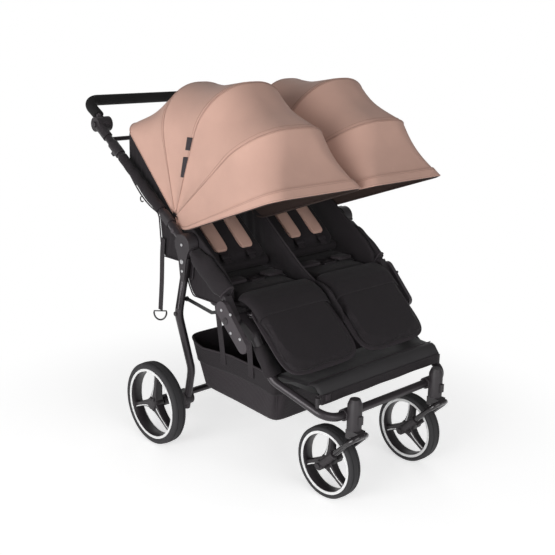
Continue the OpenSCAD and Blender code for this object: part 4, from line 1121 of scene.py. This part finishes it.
class SeatSides(bpy.types.Operator):
    """Padded wings beside the seats, the divider between them and the sleeves on the tubes"""

    bl_idname = "stroller.seat_sides"
    bl_label = "Seat sides"

    def execute(self, context):
        for side, sign in SIDES:
            self.wing(side, sign)
            self.wing_sleeve(side, sign)
            self.sleeve(f"tube_cover_{side}", sign, "upper_frame", spot(0.3405, *UPPER_TUBE_FOOT),
                        UPPER_TUBE_WAY, 0.375, 0.622, 0.0162)
            self.sleeve(f"front_cover_{side}", sign, "front_frame", spot(0.3120, *FRONT_TUBE_TOP),
                        FRONT_TUBE_WAY, 0.050, 0.124, 0.0146)
            self.flap(side, sign)
        self.divider()
        return {"FINISHED"}

    def low_edge(self, ahead):
        """Height of a wing's lower edge: deep at the seat, stepping up towards the handle"""
        t = tube_height(ahead)
        back = t - 0.050 - 0.020 * math.sin(math.pi * max(0, min(1, (ahead + 0.165) / 0.165)))
        flap = back + (WING_STEP - back) * step_between(ahead, -0.004, 0.014)
        return flap + (WING_LOW - flap) * step_between(ahead, 0.105, 0.175)

    def high_edge(self, ahead):
        """Height of a wing's upper edge: above the tube, up to the hood's rear edge behind the pivot"""
        t = tube_height(ahead)
        wing = t + 0.043 - 0.012 * step_between(ahead, 0.300, 0.345)
        gusset = min(t + 0.088, HOOD_PIVOT_PLACE[1] + (HOOD_PIVOT_PLACE[0] - ahead) * 1.40)
        return wing + (max(gusset, t + 0.010) - wing) * step_between(-ahead, -0.125, -0.060)

    def wing(self, side, sign):
        """Padded side of a seat, with a welt along its lower edge"""
        def place(u, v):
            ahead = WING_REAR + (WING_FRONT - WING_REAR) * v
            low, high = self.low_edge(ahead), self.high_edge(ahead)
            half = 0.0032 + 0.0044 * step_between(ahead, 0.080, 0.170)
            soft = min(half, 0.2 * (high - low))
            heights = [low + soft, low * 0.75 + high * 0.25, (low + high) / 2, low * 0.25 + high * 0.75,
                       high - soft]
            ring = [*[(-half, z) for z in heights], (-half * 0.4, high), (half * 0.4, high),
                    *[(half, z) for z in reversed(heights)], (half * 0.4, low), (-half * 0.4, low)]
            x, z = ring_through(ring, u)
            rise = max(0, min(1, (z - low) / (high - low)))
            pleat = 0.0012 * math.sin(ahead * 260) * math.sin(math.pi * rise) if x >= 0 else 0
            return spot(sign * (WING_X + x + pleat), ahead, z)

        piece = to_piece(closed_loft(14, 64, place), f"seat_wing_{side}", "seat_cloth", "upper_frame")
        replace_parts(stuffed(piece), "seat_sides")
        crumple(piece)
        rear, front = WING_REAR + 0.003, WING_FRONT - 0.004
        runs = [rear + (front - rear) * i / 69 for i in range(70)]
        path = [spot(sign * (WING_X + 0.0073), ahead, self.low_edge(ahead) + 0.002) for ahead in runs]
        crumple(piping(f"seat_wing_welt_{side}", path, 0.0022, "upper_frame"))

    def wing_sleeve(self, side, sign):
        """Stuffed sleeve over the tube, from the leg bracket to the hinge cover"""
        def place(u, v):
            ahead = SLEEVE_REAR + (SLEEVE_FRONT - SLEEVE_REAR) * v
            ends = 1 - 0.10 * (abs(2 * v - 1) ** 8)
            rise = (0.55 + 0.45 * step_between(ahead, 0.205, 0.275)) * ends
            ring = [(0.3200, 0.020 * rise), (0.3200, 0.037 * rise), (0.3265, 0.0465 * rise),
                    (0.3360, 0.0435 * rise), (0.3470, 0.0345 * rise), (0.3560, 0.020), (0.3600, 0.000),
                    (0.3570, -0.018), (0.3460, -0.0290), (0.3340, -0.0310), (0.3240, -0.0260),
                    (0.3200, -0.010)]
            x, up = ring_through(ring, u)
            up *= 1 - 0.62 * step_between(ahead, 0.300, 0.338) * (up < 0)
            x -= 0.0050 * step_between(ahead, 0.312, 0.340) * (x > 0.345)
            crease = 1 + 0.035 * math.sin(v * 17 + u * 5) * math.sin(math.pi * v)
            x, up = 0.339 + (x - 0.339) * (crease if x > 0.33 else 1), up * crease
            # The front end is turned square to the tube
            square = step_between(v, 0.45, 1.0) * max(0, up)
            return spot(sign * x, ahead + 0.4669 * square, tube_height(ahead) + up - 0.3212 * square)

        piece = to_piece(closed_loft(12, 30, place), f"wing_sleeve_{side}", "seat_cloth", "upper_frame")
        crumple(stuffed(piece, levels=2))
        cuff = [place(i / 48, 0.985) for i in range(48)]
        crumple(piping(f"wing_cuff_{side}", cuff, 0.0026, "upper_frame", closed=True))

    def divider(self):
        """Pleated pad that stands between the two seats"""
        steps = 72
        top = middle_path(((-0.105, 0.925), (-0.010, 0.862), (0.072, 0.806), (0.134, 0.748),
                           (0.213, 0.684), (0.315, 0.606), (0.384, 0.566)), steps)
        low = middle_path(((-0.105, 0.800), (-0.010, 0.690), (0.072, 0.595), (0.140, 0.537),
                           (0.215, 0.531), (0.310, 0.532), (0.384, 0.533)), steps)
        half = [(0.9, 0), (0.98, 0.08), (1, 0.35), (1.15, 0.62), (1.2, 0.86), (0.75, 0.98)]
        ring = both_ways(half, [(0, 1.0)])

        def place(u, v):
            x, up = ring_through(ring, u)
            pleat = 1 + 0.16 * math.sin(v * 57 + 3 * up) * math.sin(math.pi * up)
            point = low[round(v * steps)].lerp(top[round(v * steps)], up)
            wide = 0.0105 + 0.0035 * step_between(point.z, 0.585, 0.625)
            return point + Vector((x * wide * pleat / 1.2, 0, 0))

        piece = to_piece(closed_loft(13, steps, place), "seat_divider", "seat_cloth", "upper_frame")
        crumple(stuffed(piece))
        crumple(piping("seat_divider_welt", top, 0.0026, "upper_frame"))

    def flap(self, side, sign):
        """Cloth that laps over the front tube beside the leg rest"""
        along = Vector(FRONT_TUBE_WAY)
        start, up = spot(0, *FRONT_TUBE_TOP), Vector((0, along.z, -along.y))
        wide, steps = 0.094, 30
        section = [(0.3286, -0.006), (0.3290, 0.004), (0.3245, 0.0135), (0.3120, 0.0165),
                   (0.2960, 0.0130), (0.2720, 0.0040)]
        curve = smooth_path([Vector((x, 0, m)) for x, m in section], steps)

        def place(u, v):
            point = curve[round(u * steps)]
            fold = 0.0012 * math.sin(13 * v + 4 * u) * math.sin(math.pi * v)
            reach = 0.034 + wide * v + 0.006 * math.sin(math.pi * u)
            return start + along * reach + up * (point.z + fold) + Vector((sign * point.x, 0, 0))

        cloth(sheet_mesh(steps, steps, place), f"legrest_flap_{side}", "front_frame", 0.0018)

    def sleeve(self, name, sign, body, start, direction, low, high, radius):
        """Cloth sleeve gathered round a tube"""
        along, across = Vector(direction).normalized(), Vector((1, 0, 0))
        side = along.cross(across)

        def place(u, v):
            a = math.tau * u
            r = radius + 0.0009 * math.sin(3 * a + 31 * v) * math.sin(math.pi * v)
            ring = (across * math.cos(a) + side * math.sin(a)) * r
            point = start + along * (low + (high - low) * v) + ring
            return Vector((sign * point.x, point.y, point.z))

        bm = sheet_mesh(40, 44, place)
        sew_up(bm)
        thicken(to_piece(bm, name, "seat_cloth", body), 0.0012, -1)


# Harness

SHOULDER_X = 0.052
WEB_THICKNESS = 0.0016


class Harness(bpy.types.Operator):
    """Shoulder and waist pads, webbing and its sliders, for both seats"""

    bl_idname = "stroller.harness"
    bl_label = "Harness"

    def execute(self, context):
        width = look().web_width
        for side, sign in SIDES:
            body = f"seat_back_{side}"
            x, base = sign * SEAT_X, back_place(sign * SEAT_X)
            pads, waist = bmesh.new(), bmesh.new()
            for e in (-1, 1):
                end = f"{side}_in" if e * sign < 0 else f"{side}_out"
                place = base @ Matrix.Translation((e * SHOULDER_X, -0.0570, 0.1125)) @ QUARTER_TURN
                take_in(pads, pad_mesh(0.052, 0.168, 0.011, 6, 0.004, place, cuts=14))
                route = ((-0.050, 0.300), (-0.0535, 0.225), (-0.0490, 0.16), (-0.0490, 0.06),
                         (-0.0535, 0.018), (-0.052, -0.012))
                points = [base @ Vector((e * SHOULDER_X, y, z)) for y, z in route]
                strap(f"shoulder_web_{end}", points, (1, 0, 0), width, WEB_THICKNESS, body)
                keeper = bmesh.new()
                place = base @ Matrix.Translation((e * SHOULDER_X, -0.0560, 0.010))
                block(keeper, (0.032, 0.007, 0.016), place, 0.002)
                to_piece(keeper, f"web_slider_{end}", "joint_plastic", body)
                lie = (Matrix.Translation(spot(x + e * 0.078, 0.262, 0.5872))
                       @ Matrix.Rotation(e * math.radians(12), 4, "Z")
                       @ Matrix.Rotation(e * math.radians(4), 4, "Y"))
                take_in(waist, pad_mesh(0.078, 0.048, 0.009, 5, 0.004, lie, cuts=12))
                lap = [spot(x + e * out, ahead, z) for out, ahead, z in (
                    (0.026, 0.269, 0.5810), (0.070, 0.264, 0.5830), (0.110, 0.248, 0.5815),
                    (0.130, 0.224, 0.5740))]
                strap(f"lap_web_{end}", lap, (0, 0.9, -0.25), width, WEB_THICKNESS, "front_frame")
            shoulder = stuffed(to_piece(pads, f"shoulder_pads_{side}", "hood_cloth", body))
            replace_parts(shoulder, f"shoulder_straps_{side}")
            stuffed(to_piece(waist, f"waist_pads_{side}", "seat_welt", "front_frame"))
            crotch = [spot(x, 0.289, 0.578), spot(x, 0.312, 0.5790), spot(x, 0.334, 0.5745)]
            strap(f"crotch_web_{side}", crotch, (1, 0, 0), width * 1.2, WEB_THICKNESS, "front_frame")
        return {"FINISHED"}


# Footrest and basket

FOOTREST_FRONT, FOOTREST_REAR = 0.668, 0.518
FOOTREST_FRONT_HALF, FOOTREST_REAR_HALF = 0.268, 0.290


class Footrest(bpy.types.Operator):
    """Coated board with a padded ridge, and the strip of cloth under its front"""

    bl_idname = "stroller.footrest"
    bl_label = "Footrest"

    def half_at(self, ahead):
        share = (ahead - FOOTREST_REAR) / (FOOTREST_FRONT - FOOTREST_REAR)
        return FOOTREST_REAR_HALF + (FOOTREST_FRONT_HALF - FOOTREST_REAR_HALF) * share

    def across(self, half, ahead, z):
        return [spot(-half + 2 * half * i / 60, ahead, z) for i in range(61)]

    def execute(self, context):
        front, rear = FOOTREST_FRONT, FOOTREST_REAR
        profile = [(rear, 0.348), (rear, 0.3725), (rear + 0.004, 0.3738), (0.575, 0.3722),
                   (0.620, 0.3724), (0.632, 0.3758), (0.642, 0.3772), (0.650, 0.3748), (0.658, 0.3660),
                   (front - 0.002, 0.3535), (front, 0.3490), (front - 0.002, 0.348)]
        last = len(profile) - 1

        def place(u, v):
            k = round(v * last)
            ahead, z = profile[k]
            edge = abs(2 * u - 1)
            drop = 0.006 * max(0, (edge - 0.965) / 0.035) ** 2 if 0 < k < last - 1 else 0
            return spot((2 * u - 1) * (self.half_at(ahead) - 0.0004), ahead, z - drop)

        bm = sheet_mesh(80, last, place)
        bmesh.ops.holes_fill(bm, edges=[e for e in bm.edges if e.is_boundary], sides=0)
        face_out(bm)
        piece = to_piece(bm, "footrest_panel", "footrest_leatherette", "front_frame")
        ease_edges(piece, 0.0012, angle_limit=math.radians(50))
        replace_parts(piece, "footrest")
        ridge, half = 0.628, self.half_at(front)
        piping("footrest_piping", self.across(self.half_at(ridge), ridge, 0.3752), 0.0014, "front_frame")
        piping("footrest_edge", self.across(half, front - 0.003, 0.3475), 0.0030, "front_frame",
               "joint_plastic")
        self.strip(half - 0.004)
        return {"FINISHED"}

    def strip(self, half):
        """Cloth strip that hangs from the board's front edge, with a small tab at one end"""
        def place(u, v):
            wave = 0.0012 * math.sin(u * 23) * v
            return spot((2 * u - 1) * half, FOOTREST_FRONT + 0.0022 + wave, 0.350 - 0.030 * v)

        cloth(sheet_mesh(90, 6, place), "footrest_strip", "front_frame", 0.0018)
        tab = sheet_mesh(4, 6, lambda u, v: spot(-half + 0.014 + 0.020 * u, FOOTREST_FRONT + 0.0046,
                                                 0.347 - 0.018 * v))
        thicken(to_piece(tab, "footrest_tab", "seat_welt", "front_frame"), 0.0012)


# Front end, rear end and half width of the basket, each at the floor and at the rim
BASKET_FRONT = (0.468, 0.498)
BASKET_REAR = (0.086, 0.052)
BASKET_HALF = (0.248, 0.276)
BASKET_FLOOR = 0.188
BASKET_MIDDLE = 0.285
# Share by which the basket is narrower at its rear
BASKET_TAPER = 0.105
# Share of the basket's cloth, from the rim down, that is wall, and share of the wall that is band
WALL_SHARE = 0.62
BAND_SHARE = 0.40


class Basket(bpy.types.Operator):
    """Open cloth basket that sags between its hangers"""

    bl_idname = "stroller.basket"
    bl_label = "Basket"

    def ring(self, u, k, inset=0.0):
        """Place on the basket's wall, a share u round it and k up it"""
        front, rear, broad = [floor + (rim - floor) * k for floor, rim in
                              (BASKET_FRONT, BASKET_REAR, BASKET_HALF)]
        front, rear = front - inset, rear + inset
        cx, cy = squarish(math.tau * u, 0.14)
        ahead = (front + rear) / 2 + (front - rear) / 2 * cy * (1 - 0.012 * (1 - cx * cx))
        share = (ahead - rear) / (front - rear)
        half = broad * (1 - BASKET_TAPER * (1 - share)) - inset
        rim = 0.349 + 0.011 * math.cos(math.tau * 1.3 * max(0, share) ** 0.62)
        return half * cx * (1 - 0.012 * (1 - cy * cy)), ahead, BASKET_FLOOR + (rim - BASKET_FLOOR) * k

    def swayed(self, u, k, inset, lift=0.0):
        """Point on the wall with its folds"""
        x, ahead, z = self.ring(u, k, inset)
        sway = 0.0032 * math.sin(u * math.tau * 7 + 3 * k) * math.sin(math.pi * k)
        return spot(x * (1 + sway / 0.3), ahead + sway, z + lift)

    def wall(self, u, k):
        """Wall, drawn in a little at the floor"""
        return self.swayed(u, k, 0.012 * max(0, 1 - k / 0.07) ** 1.5 + 0.003 * (1 - k))

    def band(self, u, v):
        """Band round the wall's upper part, just outside it"""
        return self.swayed(u, 1.0 - BAND_SHARE * v, -0.0022, 0.001)

    def bag(self, u, v):
        """Wall from the rim down, then the floor in to its middle"""
        if v < WALL_SHARE:
            return self.wall(u, 1 - v / WALL_SHARE)
        s = (1 - v) / (1 - WALL_SHARE)
        x, ahead, z = self.ring(u, 0, 0.015)
        return spot(x * s, BASKET_MIDDLE + (ahead - BASKET_MIDDLE) * s, z - 0.006 * (1 - s * s))

    def execute(self, context):
        bm = sheet_mesh(160, 50, self.bag)
        sew_up(bm)
        area = surface_of(bm)
        piece = to_piece(bm, "basket_cloth", "basket_net", "front_frame")
        thicken(piece, 0.0018)
        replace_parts(piece, "basket")
        bm = sheet_mesh(160, 8, self.band)
        sew_up(bm)
        thicken(to_piece(bm, "basket_band", "seat_cloth", "front_frame"), 0.0022)
        for name, v, radius in (("rim", 0.0, 0.0030), ("seam", 1.0, 0.0016)):
            path = [self.band(i / 160, v) for i in range(160)]
            piping(f"basket_{name}", path, radius, "front_frame", closed=True)
        for corner in (1, 3, 5, 7):
            path = [self.wall(corner / 8, 0.02 + 0.58 * i / 20) for i in range(21)]
            piping(f"basket_corner_{corner}", path, 0.0020, "front_frame")
        for side, sign in SIDES:
            self.hangers(side, sign)
        return {"FINISHED"}

    def hangers(self, side, sign):
        """Webbing from the rim up to the seat frame, and a hitch at the front corner"""
        for end, ahead in (("front", 0.380), ("rear", 0.240)):
            behind = (BASKET_FRONT[1] - ahead) / (BASKET_FRONT[1] - BASKET_REAR[1])
            half = (BASKET_HALF[1] - 0.003) * (1 - BASKET_TAPER * behind)
            points = [spot(sign * out, ahead, z) for out, z in (
                (half + 0.003, 0.318), (half + 0.005, 0.352), (0.2830, 0.5090))]
            strap(f"basket_hanger_{end}_{side}", points, (0, 1, 0), 0.024, 0.0018, "front_frame")
        hitch = [spot(sign * out, ahead, z) for out, ahead, z in (
            (0.262, 0.480, 0.338), (0.278, 0.494, 0.350), (0.298, 0.508, 0.370))]
        strap(f"basket_hitch_{side}", hitch, (0, 0.5, 0.8), 0.034, 0.0020, "front_frame", "seat_cloth")


# Hardware

# Distance out, places, radius, depth, finish and body of the heads on each side
HEADS = {
    "fold_rivets": (0.3695, [(0.380, 0.516)], 0.0105, 0.0035, "joint_plastic", "front_frame"),
    "fold_screws": (0.3692, [(0.362, 0.545), (0.402, 0.541), (0.404, 0.486), (0.444, 0.478)],
                    0.0046, 0.0022, "steel", "front_frame"),
    "bracket_pin": (0.3595, [(0.165, 0.648)], 0.0075, 0.0032, "steel", "upper_frame"),
    "bracket_screws": (0.3595, [(0.166, 0.619), (0.165, 0.700)], 0.0050, 0.0026, "steel", "upper_frame"),
    "tube_button": (0.3540, [(0.113, 0.7330)], 0.0082, 0.003, "cover_plastic", "upper_frame"),
    "knee_rivet": (0.3540, [(0.122, 0.472)], 0.0075, 0.003, "joint_plastic", "rear_leg_frame"),
}
AXLE_CAP_OUT = 0.0490


class Hardware(bpy.types.Operator):
    """Rivets, screws, axle caps, the hanging strap with its ring, and a small hook"""

    bl_idname = "stroller.hardware"
    bl_label = "Hardware"

    def execute(self, context):
        wheel = WHEELS["front"]
        for side, sign in SIDES:
            for name, (out, places, radius, depth, finish, body) in HEADS.items():
                points = [spot(sign * out, *place) for place in places]
                self.heads(f"{name}_{side}", points, (sign, 0, 0), radius, depth, finish, body)
            caps = [spot(sign * (wheel.out + e * AXLE_CAP_OUT), wheel.ahead, wheel.radius)
                    for e in (-1, 1)]
            self.heads(f"axle_caps_{side}", caps, (1, 0, 0), 0.0085, 0.004, "joint_plastic",
                       f"caster_{side}")
        self.recline_strap()
        self.hook()
        return {"FINISHED"}

    def heads(self, name, places, axis, radius, depth, finish, body):
        bm = bmesh.new()
        for place in places:
            disc(bm, place, axis, radius, depth, depth * 0.35)
        to_piece(bm, name, finish, body)

    def recline_strap(self):
        """Webbing that hangs beside the left seat, with a D-shaped ring at its end"""
        points = [spot(-0.3215, 0.022, 0.690), spot(-0.3225, 0.017, 0.641), spot(-0.3225, 0.012, 0.550),
                  spot(-0.3215, 0.001, 0.450)]
        wide = 0.022
        web = strap("recline_strap", points, (0, 1, 0.1), wide, WEB_THICKNESS, "upper_frame")
        turns = [math.pi * (i + 0.5) / 24 for i in range(24)]
        arc = [(0.021 * math.cos(a), 0.443 - 0.026 * math.sin(a)) for a in turns]
        shape = [(-0.020, 0.447), (0.020, 0.447), *arc]
        outline = [spot(-0.3225 + 0.70 * w, 0.001 + 0.66 * w, z) for w, z in shape]
        ring = piping("recline_ring", outline, 0.0028, "upper_frame", "link_metal", closed=True)
        for piece in (web, ring):
            crumple(piece)

    def hook(self):
        """Small open hook under the left tube"""
        bend = 0.0085
        arc = [math.radians(40 + 280 * i / 28) for i in range(29)]
        path = [spot(-0.3250, -0.083 + bend * math.cos(a), 0.7985 + bend * math.sin(a)) for a in arc]
        piping("seat_hook", path, 0.0020, "upper_frame", "joint_plastic")


# Stage

# Place, point looked at, size and power of each lamp
LAMPS = {
    "key": ((-3.5, -0.9, 0.80), (0, 0, 0.75), 2.4, 122),
    "fill": ((-0.6, -3.8, 1.5), (0, 0, 0.5), 2.8, 54),
    "top": ((0.2, 0.4, 4.0), (0, 0, 0.5), 3.0, 4),
    "back": ((2.6, 2.6, 2.2), (0, 0, 0.7), 2.0, 12),
}
CAMERA_PLACE = (-2.008, 2.328, 1.3475)
CAMERA_WAY = (0.6625, 0.7006, -0.2650)
CAMERA_ROLL = math.radians(1.0)
CAMERA_LENS = 60.35
# The floor runs out to white between these distances from the middle
FLOOR_NEAR, FLOOR_FAR = 0.55, 1.25
FLOOR_GLOW = 0.55
SKY_STRENGTH = 0.20


class Stage(bpy.types.Operator):
    """Pale floor, soft studio light and the camera"""

    bl_idname = "stroller.stage"
    bl_label = "Stage"

    def execute(self, context):
        scene = context.scene
        scene.view_settings.view_transform = "Standard"
        self.floor(scene)
        self.world(scene)
        for name, values in LAMPS.items():
            self.lamp(scene, name, *values)
        self.camera(scene)
        return {"FINISHED"}

    def camera(self, scene):
        camera = bpy.data.objects.new("camera", bpy.data.cameras.new("camera"))
        camera.data.sensor_width = 36.0
        camera.data.lens = CAMERA_LENS
        ahead = Vector(CAMERA_WAY).normalized()
        right = ahead.cross(Vector((0, 0, 1))).normalized()
        up = right.cross(ahead)
        x_axis = right * math.cos(CAMERA_ROLL) + up * math.sin(CAMERA_ROLL)
        y_axis = up * math.cos(CAMERA_ROLL) - right * math.sin(CAMERA_ROLL)
        turn = Matrix((x_axis, y_axis, -ahead)).transposed().to_4x4()
        camera.matrix_world = Matrix.Translation(spot(*CAMERA_PLACE)) @ turn
        scene.collection.objects.link(camera)
        scene.camera = camera

    def floor(self, scene):
        """Pale floor that keeps the shadow near the wheels and runs out to plain white"""
        made, tree, bsdf = shader("studio_floor")
        rays = tree.nodes.new("ShaderNodeLightPath")
        seen = add_up(tree, rays.outputs["Is Camera Ray"], rays.outputs["Is Glossy Ray"],
                      rays.outputs["Is Transmission Ray"])
        set_inputs(tree, bsdf, Base_Color=(0.86, 0.86, 0.86, 1), Roughness=0.9, Specular_IOR_Level=0.0)
        glow = add_node(tree, "ShaderNodeEmission", Strength=map_range(tree, seen, 0.0, FLOOR_GLOW))
        near = tree.nodes.new("ShaderNodeAddShader")
        tree.links.new(bsdf.outputs["BSDF"], near.inputs[0])
        tree.links.new(glow.outputs["Emission"], near.inputs[1])
        white = tree.nodes.new("ShaderNodeEmission")
        distance = tree.nodes.new("ShaderNodeVectorMath")
        distance.operation = "LENGTH"
        tree.links.new(object_coords(tree), distance.inputs[0])
        far = add_node(tree, "ShaderNodeMapRange", Value=distance.outputs["Value"], From_Min=FLOOR_NEAR,
                       From_Max=FLOOR_FAR)
        far.interpolation_type = "SMOOTHSTEP"
        share = tree.nodes.new("ShaderNodeMath")
        share.operation = "MULTIPLY"
        share.use_clamp = True
        tree.links.new(far.outputs["Result"], share.inputs[0])
        tree.links.new(seen, share.inputs[1])
        blend = add_node(tree, "ShaderNodeMixShader", Fac=share.outputs["Value"])
        tree.links.new(near.outputs["Shader"], blend.inputs[1])
        tree.links.new(white.outputs["Emission"], blend.inputs[2])
        tree.links.new(blend.outputs["Shader"], tree.nodes["Material Output"].inputs["Surface"])
        bm = bmesh.new()
        bmesh.ops.create_grid(bm, x_segments=1, y_segments=1, size=40)
        mesh = bpy.data.meshes.new("floor")
        bm.to_mesh(mesh)
        bm.free()
        mesh.materials.append(made)
        plane = bpy.data.objects.new("floor", mesh)
        scene.collection.objects.link(plane)

    def world(self, scene):
        """Dim white sky that shows as plain white behind the floor"""
        sky = bpy.data.worlds.new("studio")
        scene.world = sky
        sky.use_nodes = True
        tree = sky.node_tree
        rays = tree.nodes.new("ShaderNodeLightPath")
        seen = add_up(tree, rays.outputs["Is Camera Ray"], rays.outputs["Is Transmission Ray"])
        set_inputs(tree, tree.nodes["Background"], Color=(1, 1, 1, 1),
                   Strength=map_range(tree, seen, SKY_STRENGTH, 1.0))

    def lamp(self, scene, name, place, target, size, power):
        light = bpy.data.lights.new(name, "AREA")
        light.size = size
        light.energy = power
        lamp = bpy.data.objects.new(name, light)
        lamp.location = place
        lamp.rotation_euler = (Vector(target) - Vector(place)).to_track_quat("-Z", "Y").to_euler()
        scene.collection.objects.link(lamp)


class StrollerPanel(bpy.types.Panel):
    """Colours, sizes and building steps of the stroller"""

    bl_idname = "VIEW3D_PT_stroller"
    bl_label = "Stroller"
    bl_space_type = "VIEW_3D"
    bl_region_type = "UI"
    bl_category = "Stroller"

    def draw(self, context):
        for key in StrollerLook.__annotations__:
            self.layout.prop(context.scene.stroller_look, key)
        for step in STEPS:
            self.layout.operator(step.bl_idname)


STEPS = (Stage, FramePieces, Wheels, Hoods, Pads, SeatSides, Harness, Footrest, Basket, Hardware)
CLASSES = (StrollerLook, *STEPS, StrollerPanel)


def register():
    for one in CLASSES:
        bpy.utils.register_class(one)
    bpy.types.Scene.stroller_look = bpy.props.PointerProperty(type=StrollerLook)


def unregister():
    del bpy.types.Scene.stroller_look
    for one in reversed(CLASSES):
        bpy.utils.unregister_class(one)


def main():
    register()
    make_finishes()
    bpy.ops.stroller.stage()
    bpy.ops.stroller.frame_pieces()
    bpy.ops.stroller.wheels()
    bpy.ops.stroller.hoods()
    bpy.ops.stroller.pads()
    bpy.ops.stroller.seat_sides()
    bpy.ops.stroller.harness()
    bpy.ops.stroller.footrest()
    bpy.ops.stroller.basket()
    bpy.ops.stroller.hardware()


if __name__ == "__main__":
    main()
